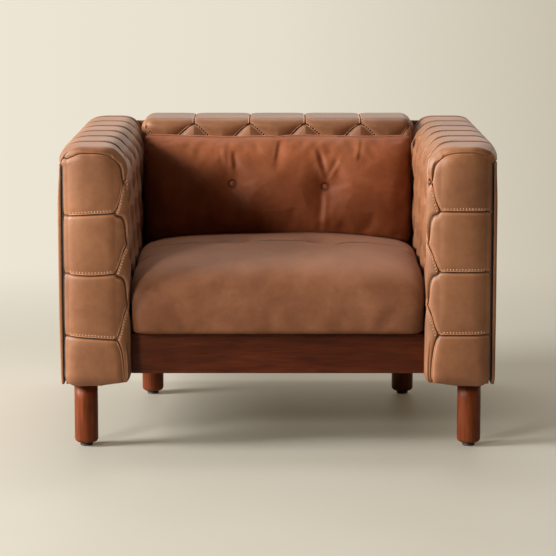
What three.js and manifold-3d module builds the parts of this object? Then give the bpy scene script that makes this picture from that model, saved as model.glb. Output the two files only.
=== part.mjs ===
// A tufted leather armchair: square arms as high as the back, two loose cushions, a wooden front rail and
// round legs. Millimetres. The chair faces -Y with +Z up, and its left is +X. The origin is on the floor under
// its middle.
// Inside the part, y is measured back from the front of the arms, and the whole group is shifted at the end.

import * as THREE from 'three';
import { mergeVertices } from 'three/addons/utils/BufferGeometryUtils.js';
import Module from 'manifold-3d';

const wasm = await Module();
wasm.setup();

// Overall sizes
const width = 990;
const depth = 885;
const armTop = 695;
const backRise = 9;
const backTop = armTop + backRise;
const underside = 149;
const frameHeight = 116;
const seatBase = underside + frameHeight;
const armWidth = 161;
const backThickness = 193;
const panelThickness = 12.5;
const timber = 28;
const seatWidth = width - 2 * armWidth;
const backFront = depth - backThickness;

// Clearances
const fit = 0.3;
const cushionGap = 0.5;
const backGap = 1.2;
const overrun = 20;

// Tufting: folds run corner to corner over a lattice, and straight pleats leave it at its borders
const armTuftColumns = 5;
const armTuftRows = 3;
const backTuftColumns = 5;
const backTuftRows = 2;
const tuftMargin = 13;
const backTuftMargin = 8;
const lastFoldInset = 21;
const lowestCrossing = 4.5;
const foldDepth = 12;
const crossingDepth = 17;
const crossingShare = 0.12;
const pleatDepth = 7;
const seamDepth = 5;
const crestSteps = 3;
const pillowPower = 2.4;
const tuftPitch = (backFront + lastFoldInset - tuftMargin) / armTuftColumns;
const tuftRise = (armTop - tuftMargin - seatBase - lowestCrossing) / armTuftRows;
const backTuftPitch = (seatWidth + 2 * foldDepth) / backTuftColumns;

// Arms
const armInner = seatWidth / 2;
const armOuter = width / 2 - panelThickness - fit;
const armLength = depth - panelThickness - fit;
const armInnerCorner = 50;
const armOuterCorner = 20;
const armFrontCorner = 24;
const armTopCorner = 28;
const armInnerTopCorner = 62;
const armOuterTopCorner = 40;
const armBottomCorner = 28;
const armOverhang = 9;
const cornerTuft = 8;
const sidePadding = 24;
const frontPadding = 16;
const topPadding = 13;
const sideFoam = 31;
const topFoam = 25;
const bottomRailHeight = 40;

// Plain outside panels
const sidePanelDrop = 40;
const backPanelDrop = 11;
const panelLift = 3;
const panelCorner = 14;
const panelEdge = 4;

// Back
const backSideCorner = 30;
const backFrontCorner = 28;
const backTopCorner = 26;
const backPadding = 20;
const backTopPadding = 16;
const backWall = 14;
const backFoam = 40;

// Seat frame and deck
const railLift = 23;
const frontRailInset = 52;
const deckHeight = 24.7;
const railBottom = underside + railLift;
const seatRailTop = seatBase - fit - deckHeight;
const innerRail = 25;
const strapWidth = 50;
const strapThickness = 2;
const dustCover = 1.2;
const dustMargin = 9;
const strapShares = [-0.6, -0.2, 0.2, 0.6];
const crossStrapShares = [0.25, 0.5, 0.75];
const legBlockLength = 90;
const legBlockWidth = 72;

// Legs
const legRadius = 27;
const legFoot = 9;
const glideHeight = 8;
const glideRadius = 14.5;
const glideEdge = 2.5;
const nailRadius = 1.5;
const nailLength = 16;
const boltRadius = 4;
const boltInLeg = 40;
const boltAbove = 18;
const frontLegFromSide = 55;
const frontLegFromFront = 75;
const rearLegFromArm = 15;
const rearLegFromBack = 8;
const frontLeg = { x: width / 2 - frontLegFromSide, y: frontLegFromFront };
const rearLeg = { x: armInner - rearLegFromArm, y: backFront - rearLegFromBack };
const legSides = 24;

// Seat cushion
const seatFront = 20;
const seatHeight = 173;
const seatCrownTop = seatBase + seatHeight;
const seatCorner = 38;
const seatDraw = 8;
const seatDrawShare = 0.16;
const seatFrontRoll = 230;
const seatFrontDrop = 113;
const seatRearRoll = 60;
const seatRearDrop = 10;
const seatSideDropFront = 56;
const seatSideDropRear = 26;
const seatTuftDepth = 18;
const seatTuftReach = 38;
const seatCrease = 4;
const seatCreaseReach = 14;
const seatRear = backFront - cushionGap;
const seatHalf = armInner - cushionGap;
const seatLength = seatRear - seatFront;
const seatTuftLengthShare = 0.524;
const seatTuftY = seatFront + seatTuftLengthShare * seatLength;
const seatTuftShares = { right: -0.3, left: 0.336 };
const seatCoreInset = 43.5;
const seatCoreLift = 15;
const seatCoreHeight = 65;
const seatLineShares = {
  across: [0.62, 0.84, 0.955],
  along: [0.025, 0.07, 0.15, 0.27, 0.4, 0.7, 0.84, 0.95],
  up: [0, seatDrawShare / 2, seatDrawShare, 0.5, 1],
};

// Back cushion
const pillowDrop = 30;
const pillowSink = 33;
const pillowGap = 1;
const pillowTop = armTop - pillowDrop;
const pillowBottom = seatCrownTop - pillowSink;
const pillowHalf = armInner - cushionGap;
const pillowHalfThickness = 69;
const pillowMiddle = backFront - pillowGap - pillowHalfThickness;
const pillowSeam = 2;
const pillowSidePower = 7;
const pillowTopPower = 2.3;
const pillowTopRoundness = 0.62;
const pillowFullShare = 0.4;
const pillowSoleShare = 0.86;
const pillowSoleHeightShare = 0.12;
const pillowDimple = 18;
const pillowDimpleReach = 40;
const pillowButtonShares = { right: { across: -0.336, up: 0.565 }, left: { across: 0.351, up: 0.538 } };
const pillowCoreInset = 63.5;
const pillowCoreHalfThickness = 38;
const pillowCoreDrop = 65;
const pillowLineShares = { across: [0.68, 0.88, 0.97], up: [0, 0.12, 0.26, 0.42, 0.66, 0.77, 0.87, 0.95, 1] };

// Covered buttons, each with a shank that the twine holds
const buttonRadius = 7.5;
const buttonDome = 5;
const buttonSink = 2.5;
const shankRadius = 2;
const shankLength = 10;
const buttonSides = 16;
const buttonDomeShares = [[1, 0], [0.78, 0.62], [0.42, 0.92], [0, 1]];

const leather = { color: 0x9b6848, roughness: 0.52, metalness: 0 };
const walnut = { color: 0x4a2616, roughness: 0.45, metalness: 0 };
const legWood = { color: 0x6b2f18, roughness: 0.42, metalness: 0 };
const hardwood = { color: 0xb08a5c, roughness: 0.75, metalness: 0 };
const foam = { color: 0xe6dcb4, roughness: 0.95, metalness: 0 };
const fibre = { color: 0xf0ede6, roughness: 0.95, metalness: 0 };
const webbing = { color: 0x2c2a28, roughness: 0.9, metalness: 0 };
const felt = { color: 0x3a322c, roughness: 0.95, metalness: 0 };
const steel = { color: 0x9a9c9e, roughness: 0.35, metalness: 1 };
const glidePlastic = { color: 0x141312, roughness: 0.6, metalness: 0 };

const chair = new THREE.Group();
chair.position.y = -depth / 2;

function add(name, geometry, finish) {
  const mesh = new THREE.Mesh(geometry, new THREE.MeshStandardMaterial(finish));
  mesh.name = name;
  chair.add(mesh);
}

// Solids and cuts

function toSolid(geometry) {
  const bare = new THREE.BufferGeometry();
  bare.setAttribute('position', geometry.getAttribute('position'));
  bare.setIndex(geometry.getIndex());
  const merged = mergeVertices(bare, 1e-4);
  return new wasm.Manifold(new wasm.Mesh({
    numProp: 3,
    vertProperties: new Float32Array(merged.getAttribute('position').array),
    triVerts: new Uint32Array(merged.getIndex().array),
  }));
}

function toGeometry(solid) {
  const mesh = solid.getMesh();
  const geometry = new THREE.BufferGeometry();
  geometry.setAttribute('position', new THREE.BufferAttribute(new Float32Array(mesh.vertProperties), 3));
  geometry.setIndex(new THREE.BufferAttribute(new Uint32Array(mesh.triVerts), 1));
  geometry.computeVertexNormals();
  return geometry;
}

function cut(geometry, cutters) {
  const left = cutters.reduce((solid, cutter) => solid.subtract(toSolid(cutter)), toSolid(geometry));
  return toGeometry(left.simplify());
}

function block(x, y, z) {
  const box = new THREE.BoxGeometry(x[1] - x[0], y[1] - y[0], z[1] - z[0]);
  return box.translate((x[0] + x[1]) / 2, (y[0] + y[1]) / 2, (z[0] + z[1]) / 2);
}

function mirrored(geometry) {
  const copy = geometry.clone();
  const place = copy.getAttribute('position');
  for (let i = 0; i < place.count; i += 1) place.setX(i, -place.getX(i));
  const index = Array.from(copy.getIndex().array);
  for (let i = 0; i < index.length; i += 3) [index[i], index[i + 1]] = [index[i + 1], index[i]];
  copy.setIndex(index);
  copy.computeVertexNormals();
  return copy;
}

function upright(profile, sides) {
  return new THREE.LatheGeometry(profile.map(([r, z]) => new THREE.Vector2(r, z)), sides).rotateX(Math.PI / 2);
}

function addPair(name, geometry, finish) {
  add(`${name}_left`, geometry, finish);
  add(`${name}_right`, mirrored(geometry), finish);
}

// The closed skin of a box divided along the given lines. Every point on it is sent through place, and
// risesAt says for the middle of a square which of its two diagonals becomes the edge.
function boxSkin(xs, ys, zs, place, risesAt = () => true) {
  const [nx, ny, nz] = [xs.length - 1, ys.length - 1, zs.length - 1];
  const points = [];
  const numbers = new Map();
  const triangles = [];
  const vertex = ([i, j, k]) => {
    const key = `${i} ${j} ${k}`;
    if (!numbers.has(key)) {
      numbers.set(key, points.length / 3);
      points.push(...place(xs[i], ys[j], zs[k]));
    }
    return numbers.get(key);
  };
  const square = (corners) => {
    const [a, b, c, d] = corners.map(vertex);
    const middle = [xs, ys, zs].map((lines, axis) => (lines[corners[0][axis]] + lines[corners[2][axis]]) / 2);
    if (risesAt(...middle)) triangles.push(a, b, c, a, c, d);
    else triangles.push(a, b, d, b, c, d);
  };
  for (let i = 0; i < nx; i += 1) {
    for (let j = 0; j < ny; j += 1) {
      square([[i, j, nz], [i + 1, j, nz], [i + 1, j + 1, nz], [i, j + 1, nz]]);
      square([[i, j, 0], [i, j + 1, 0], [i + 1, j + 1, 0], [i + 1, j, 0]]);
    }
    for (let k = 0; k < nz; k += 1) {
      square([[i, 0, k], [i + 1, 0, k], [i + 1, 0, k + 1], [i, 0, k + 1]]);
      square([[i, ny, k], [i, ny, k + 1], [i + 1, ny, k + 1], [i + 1, ny, k]]);
    }
  }
  for (let j = 0; j < ny; j += 1) {
    for (let k = 0; k < nz; k += 1) {
      square([[0, j, k], [0, j, k + 1], [0, j + 1, k + 1], [0, j + 1, k]]);
      square([[nx, j, k], [nx, j + 1, k], [nx, j + 1, k + 1], [nx, j, k + 1]]);
    }
  }
  const geometry = new THREE.BufferGeometry();
  geometry.setAttribute('position', new THREE.Float32BufferAttribute(points, 3));
  geometry.setIndex(triangles);
  geometry.computeVertexNormals();
  return geometry;
}

// Rounds the corners of the box from low to high. Each side has its own sweep, so an edge is a quarter of an
// ellipse. Gives the rounded point, its outward normal, and whether the point lies on the skin of the box.
function roundedPoint(point, low, high, lowSweep, highSweep) {
  const sweep = [1, 1, 1];
  const lean = point.map((value, axis) => {
    if (highSweep[axis] > 0 && value > high[axis] - highSweep[axis]) {
      sweep[axis] = highSweep[axis];
      return 1 + (value - high[axis]) / sweep[axis];
    }
    if (lowSweep[axis] > 0 && value < low[axis] + lowSweep[axis]) {
      sweep[axis] = lowSweep[axis];
      return (value - low[axis]) / sweep[axis] - 1;
    }
    return 0;
  });
  const reach = Math.max(...lean.map(Math.abs));
  const shrink = reach > 0 ? reach / Math.hypot(...lean) : 1;
  const normal = new THREE.Vector3(...lean.map((value, axis) => value / sweep[axis])).normalize();
  const rounded = point.map((value, axis) => value + sweep[axis] * lean[axis] * (shrink - 1));
  return { rounded, normal: normal.toArray(), onSkin: reach > 1 - 1e-6 };
}

// Tufting

function foldShare(cells) {
  return Math.abs(cells - Math.round(cells));
}

// Height of a pillow over its folds: 0 on a fold, 1 on the crest, which is half a cell away
function pillow(share) {
  return 1 - (1 - Math.min(1, 2 * share)) ** pillowPower;
}

// Depth of the quilted leather below its crests, u cells along and w cells down from the first row of tufts
function quiltDepth(u, w, rows) {
  const straight = foldShare(u);
  if (w < 0) return foldDepth * (1 - pillow(u < 0.5 ? Math.hypot(Math.max(u, 0), w) : straight));
  if (u < 0) return foldDepth * (1 - pillow(foldShare(Math.min(w, rows + 0.5))));
  if (w > rows) return foldDepth * (1 - pillow(straight));
  const shares = [foldShare(u + w), foldShare(u - w)];
  const atCrossing = Math.max(0, 1 - Math.max(...shares) / crossingShare);
  return foldDepth * (1 - pillow(Math.min(...shares))) + (crossingDepth - foldDepth) * atCrossing;
}

// True where the fold through this half cell climbs away from the front or from the left
function foldRises(u, w) {
  return (Math.floor(2 * u) + Math.floor(2 * w)) % 2 !== 0;
}

function linesBetween(start, end, count) {
  return Array.from({ length: count + 1 }, (_, i) => start + (end - start) * i / count);
}

// Arms

const armTuftTop = armTop - tuftMargin;
const armTuftBottom = armTuftTop - armTuftRows * tuftRise;
const firstFold = tuftMargin + tuftPitch;
const lastFold = tuftMargin + armTuftColumns * tuftPitch;
const boardTop = armTop - topPadding - topFoam - fit;
const sidePanelTop = armTop - sidePanelDrop;
const topFoamInner = armInner + armInnerCorner + fit;

function clampShare(share) {
  return Math.min(1, Math.max(0, share));
}

// Cells along the inner face of an arm. The first tufts sit on its front corner, and the first cell behind them
// is wider than the rest, because the leather turns the corner there.
function armCells(y, z) {
  const first = 0.5 + 0.5 * (y - cornerTuft) / (firstFold - cornerTuft);
  return [y < firstFold ? first : (y - tuftMargin) / tuftPitch, (armTuftTop - z) / tuftRise];
}

// The top of an arm rolls further down its inner and outer edges than along its middle
function armTopSweep(x) {
  const inner = clampShare((armInner + 2 * armInnerCorner - x) / armInnerCorner);
  const outer = clampShare((x - armOuter + 2 * armOuterCorner) / armOuterCorner);
  return armTopCorner + (armInnerTopCorner - armTopCorner) * inner + (armOuterTopCorner - armTopCorner) * outer;
}

// Above the side panel the leather of an arm bulges out over the panel's top edge
function armBulge(x, z) {
  const outer = clampShare((x - armOuter + 2 * armOuterCorner) / (2 * armOuterCorner));
  return armOverhang * outer * clampShare((z - sidePanelTop - fit) / (boardTop - sidePanelTop));
}

// The tufted cover of one arm, in leather over wadding, open below, outside and behind
function armCover() {
  const low = [armInner, 0, underside];
  const high = [armOuter, armLength, armTop];
  const lowSweep = [armInnerCorner, armFrontCorner, armBottomCorner];

  const innerDepth = (y, z) => {
    const [u, w] = armCells(y, z);
    if (u >= armTuftColumns) return foldDepth;
    const behindRail = y > frontRailInset && w > armTuftRows;
    return behindRail ? 0 : quiltDepth(u, w, armTuftRows);
  };
  const topDepth = (y) => {
    const u = (y - tuftMargin) / tuftPitch;
    return pleatDepth * (1 - pillow(u < 0.5 ? (y + tuftMargin) / tuftPitch : foldShare(u)));
  };
  const frontDepth = (z) => {
    const w = armCells(0, z)[1];
    return seamDepth * (1 - pillow(Math.abs(w < armTuftRows + 0.5 ? foldShare(w) : 0.5)));
  };
  const place = (x, y, z) => {
    const highSweep = [armOuterCorner, 0, armTopSweep(x)];
    const { rounded, normal, onSkin } = roundedPoint([x, y, z], low, high, lowSweep, highSweep);
    rounded[0] += armBulge(x, z);
    if (!onSkin) return rounded;
    const [nx, ny, nz] = normal;
    const sunk = (nx < 0 ? nx * nx * innerDepth(y, z) : 0)
      + (ny < 0 ? ny * ny * frontDepth(z) : 0)
      + (nz > 0 ? nz * nz * topDepth(y) : 0);
    return rounded.map((value, axis) => value - sunk * normal[axis]);
  };

  const xs = [...linesBetween(armInner, armInner + armInnerCorner, crestSteps),
    armOuter - 2 * armOuterCorner, armOuter - armOuterCorner, armOuter - armOuterCorner / 2, armOuter];
  const ys = [0, ...linesBetween(cornerTuft, firstFold, crestSteps),
    ...linesBetween(firstFold, lastFold, (armTuftColumns - 1) * 2 * crestSteps).slice(1),
    lastFold + tuftPitch / 2, lastFold + tuftPitch, armLength];
  const zs = [underside, underside + armBottomCorner / 2, underside + armBottomCorner, sidePanelTop + fit,
    boardTop + fit, ...linesBetween(armTuftBottom, armTuftTop, armTuftRows * 2 * crestSteps), armTop];
  zs.sort((a, b) => a - b);
  const skin = boxSkin(xs, ys, zs, place, (x, y, z) => foldRises(...armCells(y, z)));

  const pastOuter = armOuter + overrun;
  const pastRear = armLength + overrun;
  const inner = armInner + sidePadding;
  return cut(skin, [
    block([inner, pastOuter], [frontPadding, pastRear], [underside + armBottomCorner, boardTop + fit]),
    block([topFoamInner - fit, armOuter - armOuterCorner + fit], [frontPadding, pastRear],
      [boardTop - overrun, armTop - topPadding]),
    block([inner + sideFoam + fit, pastOuter], [frontPadding + timber + fit, pastRear],
      [underside - overrun, underside + armBottomCorner + overrun]),
  ]);
}

function addArms() {
  const inner = armInner + sidePadding + fit;
  const front = frontPadding + fit;
  const low = underside + armBottomCorner + fit;
  const railInner = inner + sideFoam + fit;
  const behindBoard = front + timber + fit;
  const postFront = armLength - timber;
  const bottomRail = block([railInner, armOuter], [behindBoard, postFront - fit],
    [underside, underside + bottomRailHeight]);
  addPair('arm_cover', armCover(), leather);
  addPair('arm_top_foam', block([topFoamInner, armOuter - armOuterCorner], [front, armLength],
    [boardTop + fit, armTop - topPadding - fit]), foam);
  addPair('arm_side_foam', block([inner, inner + sideFoam], [behindBoard, armLength], [low, boardTop]), foam);
  addPair('arm_front_board', block([inner, armOuter], [front, front + timber], [low, boardTop]), hardwood);
  addPair('arm_top_rail', block([railInner, armOuter], [behindBoard, postFront - fit],
    [boardTop - timber, boardTop]), hardwood);
  addPair('arm_rear_post', block([railInner, armOuter], [postFront, armLength], [low, boardTop]), hardwood);
  addPair('arm_bottom_rail', cut(bottomRail, [boltBore(frontLeg)]), hardwood);
}

// Plain panels outside the arms and the back, boards wrapped in leather with softened edges

function softBoard(length, height, thickness) {
  const shape = new THREE.Shape();
  const [x, z, r] = [length / 2 - panelEdge, height / 2 - panelEdge, panelCorner - panelEdge];
  shape.moveTo(-x + r, -z);
  shape.lineTo(x - r, -z).quadraticCurveTo(x, -z, x, -z + r);
  shape.lineTo(x, z - r).quadraticCurveTo(x, z, x - r, z);
  shape.lineTo(-x + r, z).quadraticCurveTo(-x, z, -x, z - r);
  shape.lineTo(-x, -z + r).quadraticCurveTo(-x, -z, -x + r, -z);
  return new THREE.ExtrudeGeometry(shape, {
    depth: thickness - 2 * panelEdge,
    bevelEnabled: true,
    bevelThickness: panelEdge,
    bevelSize: panelEdge,
    bevelSegments: 2,
    curveSegments: 3,
  }).translate(0, 0, panelEdge);
}

function addOutsidePanels() {
  const low = underside + panelLift;
  const sideHeight = sidePanelTop - low;
  const backHeight = armTop - backPanelDrop - low;
  const side = softBoard(depth, sideHeight, panelThickness).rotateX(Math.PI / 2).rotateZ(Math.PI / 2);
  side.translate(width / 2 - panelThickness, depth / 2, low + sideHeight / 2);
  addPair('outside_arm_panel', toGeometry(toSolid(side)), leather);
  const back = softBoard(2 * armOuter, backHeight, panelThickness).rotateX(Math.PI / 2);
  back.translate(0, depth, low + backHeight / 2);
  add('outside_back_panel', back, leather);
}

// Back

const backHalf = armInner + foldDepth - backGap;
const backRear = armLength;
const backTuftTop = backTop - backTuftMargin;
const backInside = backFront + backPadding;
const backFoamTop = backTop - backTopPadding - fit;
const backFrameFront = backInside + backFoam + 2 * fit;

// The tufted cover of the back, open below and behind
function backCover() {
  const low = [-backHalf, backFront, railBottom];
  const high = [backHalf, backRear, backTop];
  const lowSweep = [backSideCorner, backFrontCorner, 0];
  const highSweep = [backSideCorner, 0, backTopCorner];
  const toCells = (x, z) => [(x - backTuftPitch / 2) / backTuftPitch, (backTuftTop - z) / tuftRise];
  const place = (x, y, z) => {
    const { rounded, normal, onSkin } = roundedPoint([x, y, z], low, high, lowSweep, highSweep);
    if (!onSkin || Math.abs(x) === backHalf) return rounded;
    const [u, w] = toCells(x, z);
    const share = w < 0 ? foldShare(u) : Math.min(foldShare(u + w), foldShare(u - w));
    const quilt = w > backTuftRows ? 0 : foldDepth * (1 - pillow(share));
    const sunk = (normal[1] < 0 ? normal[1] ** 2 * quilt : 0)
      + (normal[2] > 0 ? normal[2] ** 2 * pleatDepth * (1 - pillow(foldShare(u))) : 0);
    return rounded.map((value, axis) => value - sunk * normal[axis]);
  };
  const lastColumn = backTuftPitch * backTuftColumns / 2;
  const columns = linesBetween(-lastColumn, lastColumn, backTuftColumns * 2 * crestSteps).slice(1, -1);
  const xs = [-backHalf, ...columns, backHalf];
  const ys = [backFront, backFront + backFrontCorner / 2, backFront + backFrontCorner,
    (backFront + backRear) / 2, backRear];
  const foldBottom = backTuftTop - backTuftRows * tuftRise;
  const zs = [railBottom, foldBottom - tuftRise / 2,
    ...linesBetween(foldBottom, backTuftTop, backTuftRows * 2 * crestSteps), backTop];
  const skin = boxSkin(xs, ys, zs, place, (x, y, z) => foldRises(...toCells(x, z)));
  const insideHalf = backHalf - backWall;
  const topHalf = backHalf - backSideCorner;
  const pastRear = backRear + overrun;
  return cut(skin, [
    block([-insideHalf, insideHalf], [backInside, pastRear], [railBottom - overrun, backTop - backTopCorner]),
    block([-topHalf, topHalf], [backInside, pastRear],
      [backTop - backTopCorner - overrun, backTop - backTopPadding]),
  ]);
}

function addBack() {
  const half = backHalf - backWall - fit;
  const topHalf = backHalf - backSideCorner - fit;
  const foamRear = backInside + fit + backFoam;
  const slabTop = backTop - backTopCorner - fit;
  const railTop = backFoamTop - topFoam - fit;
  add('back_cover', backCover(), leather);
  add('back_foam', block([-half, half], [backInside + fit, foamRear], [railBottom, slabTop]), foam);
  add('back_top_foam', block([-topHalf, topHalf], [backFrameFront, backRear],
    [railTop + fit, backFoamTop]), foam);
  add('back_top_rail', block([-half, half], [backFrameFront, backRear], [railTop - timber, railTop]), hardwood);
  addPair('back_post', block([half - timber, half], [backFrameFront, backRear],
    [railBottom, railTop - timber - fit]), hardwood);
}

// Seat frame, deck and dust cover

const railHalf = armInner - fit;
const frontRailRear = frontRailInset + timber;
const innerRailFront = frontRailRear + fit;
const frameRear = backFront - fit;
const backRailFront = frameRear - timber;
const strapTop = seatRailTop + fit + strapThickness;
const crossTop = strapTop + fit + strapThickness;

function addSeatFrame() {
  const railTop = seatBase - fit;
  const sideInner = railHalf - timber;
  const sideEnds = [innerRailFront + innerRail + fit, backRailFront - fit];
  add('front_rail', block([-railHalf, railHalf], [frontRailInset, frontRailRear],
    [railBottom, railTop]), walnut);
  add('inner_front_rail', block([-railHalf, railHalf], [innerRailFront, innerRailFront + innerRail],
    [railBottom, seatRailTop]), hardwood);
  add('back_rail', block([-railHalf, railHalf], [backRailFront, frameRear],
    [railBottom, seatRailTop]), hardwood);
  addPair('side_rail', block([sideInner, railHalf], sideEnds, [railBottom, strapTop]), hardwood);
  const legBlock = block([railHalf - legBlockWidth, railHalf],
    [rearLeg.y - legBlockLength / 2, rearLeg.y + legBlockLength / 2], [underside, railBottom - fit]);
  addPair('rear_leg_block', cut(legBlock, [boltBore(rearLeg)]), hardwood);
}

function addDeck() {
  strapShares.forEach((share, i) => {
    const x = share * railHalf;
    add(`seat_strap_${i + 1}`, block([x - strapWidth / 2, x + strapWidth / 2], [innerRailFront, frameRear],
      [seatRailTop + fit, strapTop]), webbing);
  });
  crossStrapShares.forEach((share, i) => {
    const y = innerRailFront + share * (frameRear - innerRailFront);
    add(`cross_strap_${i + 1}`, block([-railHalf, railHalf], [y - strapWidth / 2, y + strapWidth / 2],
      [strapTop + fit, crossTop]), webbing);
  });
  add('seat_deck', block([-railHalf, railHalf], [innerRailFront, frameRear],
    [crossTop + fit, seatBase - fit]), felt);
}

// A thin cloth stapled under the seat frame, notched round the rear leg blocks
function addDustCover() {
  const half = railHalf - dustMargin;
  const notch = armInner - legBlockWidth - dustMargin;
  const front = innerRailFront;
  const notchFront = rearLeg.y - legBlockLength / 2 - dustMargin;
  const rear = frameRear - dustMargin;
  const corners = [[-half, front], [half, front], [half, notchFront], [notch, notchFront],
    [notch, rear], [-notch, rear], [-notch, notchFront], [-half, notchFront]];
  const outline = new THREE.Shape(corners.map(([x, y]) => new THREE.Vector2(x, y)));
  const cloth = new THREE.ExtrudeGeometry(outline, { depth: dustCover, bevelEnabled: false });
  add('dust_cover', cloth.translate(0, 0, railBottom - fit - dustCover), felt);
}

// Legs

function boltBore(leg) {
  const radius = (boltRadius + fit) / Math.cos(Math.PI / legSides);
  const [low, high] = [underside - overrun, underside + boltAbove + fit];
  return upright([[0, low], [radius, low], [radius, high], [0, high]], legSides).translate(leg.x, leg.y, 0);
}

function addLegs() {
  const top = underside - fit;
  const foot = glideHeight + fit;
  const nailTop = foot + nailLength + fit;
  const boltFloor = top - boltInLeg - fit;
  const round = linesBetween(0, Math.PI / 2, 2).map((angle) => [
    legRadius - legFoot * (1 - Math.sin(angle)), foot + legFoot * (1 - Math.cos(angle))]);
  const shape = [[0, nailTop], [nailRadius + fit, nailTop], [nailRadius + fit, foot], ...round,
    [legRadius, top], [boltRadius + fit, top], [boltRadius + fit, boltFloor], [0, boltFloor]];
  const bolt = [[0, top - boltInLeg], [boltRadius, top - boltInLeg], [boltRadius, underside + boltAbove],
    [0, underside + boltAbove]];
  const glide = [[0, 0], [glideRadius - glideEdge, 0], [glideRadius, glideEdge], [glideRadius, glideHeight],
    [nailRadius, glideHeight], [nailRadius, foot + nailLength], [0, foot + nailLength]];
  Object.entries({ front: frontLeg, rear: rearLeg }).forEach(([end, leg]) => {
    const at = (profile, sides) => upright(profile, sides).translate(leg.x, leg.y, 0);
    addPair(`${end}_leg`, at(shape, legSides), legWood);
    addPair(`${end}_leg_bolt`, at(bolt, legSides / 2), steel);
    addPair(`${end}_glide`, at(glide, legSides), glidePlastic);
  });
}

// Loose cushions

const seatTufts = Object.entries(seatTuftShares).map(([side, share]) => ({ side, x: share * seatHalf }));
const pillowHeight = pillowTop - pillowBottom;
const pillowButtons = Object.entries(pillowButtonShares).map(([side, shares]) => (
  { side, x: shares.across * pillowHalf, z: pillowBottom + shares.up * pillowHeight }));

// A dimple whose depth falls away with the distance from its middle
function dimple(distance, reach) {
  return Math.exp(-((distance / reach) ** 2));
}

// How far a rolled edge has dropped at a share of the way from the edge to where its roll ends
function roll(share) {
  return 1 - Math.sqrt(1 - (1 - Math.min(1, share)) ** 3);
}

function seatTopHeight(x, y) {
  const frontDrop = seatFrontDrop * roll((y - seatFront) / seatFrontRoll);
  const rearDrop = seatRearDrop * roll((seatRear - y) / seatRearRoll);
  const sideDrop = THREE.MathUtils.lerp(seatSideDropFront, seatSideDropRear, (y - seatFront) / seatLength);
  const crown = sideDrop * roll(1 - Math.abs(x / seatHalf));
  const tufts = seatTufts.map((tuft) => (
    seatTuftDepth * dimple(Math.hypot(x - tuft.x, y - seatTuftY), seatTuftReach)));
  const crease = seatCrease * (1 - (x / seatHalf) ** 4) * dimple(y - seatTuftY, seatCreaseReach);
  return seatCrownTop - Math.hypot(frontDrop, rearDrop, crown) - Math.max(...tufts, crease);
}

// The top is crowned: it falls away to the sides and rolls over the front. A point of the side faces keeps its
// share of the height of the top's edge above it.
function seatPoint(x, y, z) {
  const sweep = [seatCorner, seatCorner, 0];
  const low = [-seatHalf, seatFront, seatBase];
  const high = [seatHalf, seatRear, seatCrownTop];
  const { rounded } = roundedPoint([x, y, z], low, high, sweep, sweep);
  const share = (z - seatBase) / (seatCrownTop - seatBase);
  const drawn = 1 - seatDraw / seatHalf * Math.max(0, 1 - share / seatDrawShare) ** 2;
  const middle = (seatFront + seatRear) / 2;
  const height = seatBase + share * (seatTopHeight(x, y) - seatBase);
  return [rounded[0] * drawn, middle + (rounded[1] - middle) * drawn, height];
}

// Grid lines that gather round the tufts, as far apart as the reach of their dimples
function linesRound(places, reach, ends, others) {
  const near = places.flatMap((place) => [-1, -0.5, 0, 0.5, 1].map((share) => place + share * reach));
  return [...near, ...ends, ...others].sort((a, b) => a - b);
}

function seatSkin() {
  const { across, along, up } = seatLineShares;
  const xs = linesRound(seatTufts.map((tuft) => tuft.x), seatTuftReach, [-seatHalf, seatHalf],
    [0, ...across.flatMap((share) => [-share * seatHalf, share * seatHalf])]);
  const ys = linesRound([seatTuftY], seatTuftReach, [seatFront, seatRear],
    along.map((share) => seatFront + share * seatLength));
  const zs = up.map((share) => seatBase + share * (seatCrownTop - seatBase));
  return boxSkin(xs, ys, zs, seatPoint);
}

// A shallow flat seat for a button and a bore for its shank, cut along the button's axis
function buttonSeat(place, turn) {
  const wide = buttonRadius + fit;
  const narrow = shankRadius + fit;
  const floor = -buttonSink - fit;
  const bottom = floor - shankLength - fit;
  const recess = upright([[0, bottom], [narrow, bottom], [narrow, floor], [wide, floor],
    [wide, overrun], [0, overrun]], buttonSides);
  return turn(recess).translate(...place);
}

function button(place, turn) {
  const floor = -buttonSink;
  const profile = [[0, floor - shankLength], [shankRadius, floor - shankLength], [shankRadius, floor],
    [buttonRadius, floor], ...buttonDomeShares.map(([out, up]) => [buttonRadius * out, buttonDome * up])];
  return turn(upright(profile, buttonSides)).translate(...place);
}

const seatSolid = seatSkin();

function addSeatCushion() {
  const half = seatHalf - seatCoreInset;
  const keepUp = (geometry) => geometry;
  const places = seatTufts.map((tuft) => [tuft.x, seatTuftY, seatCrownTop - seatTuftDepth]);
  const front = seatFront + seatCoreInset;
  const low = seatBase + seatCoreLift;
  const high = low + seatCoreHeight;
  const cavity = block([-half - fit, half + fit], [front - fit, seatRear + overrun], [low - fit, high + fit]);
  const seats = places.map((place) => buttonSeat(place, keepUp));
  add('seat_cushion_cover', cut(seatSolid, [cavity, ...seats]), leather);
  add('seat_cushion_foam', block([-half, half], [front, seatRear], [low, high]), foam);
  seatTufts.forEach((tuft, i) => add(`seat_button_${tuft.side}`, button(places[i], keepUp), leather));
}

// Half the thickness of the back cushion: full over its lower half, drawn to a seam at the top and the sides
function pillowThickness(xShare, zShare) {
  const toSide = Math.sqrt(Math.max(0, 1 - Math.abs(xShare) ** pillowSidePower));
  const upShare = Math.max(0, (zShare - pillowFullShare) / (1 - pillowFullShare));
  const toTop = Math.max(0, 1 - upShare ** pillowTopPower) ** pillowTopRoundness;
  const toSole = THREE.MathUtils.lerp(pillowSoleShare, 1, Math.min(1, zShare / pillowSoleHeightShare));
  return pillowSeam + (pillowHalfThickness - pillowSeam) * toSide * toTop * toSole;
}

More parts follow.
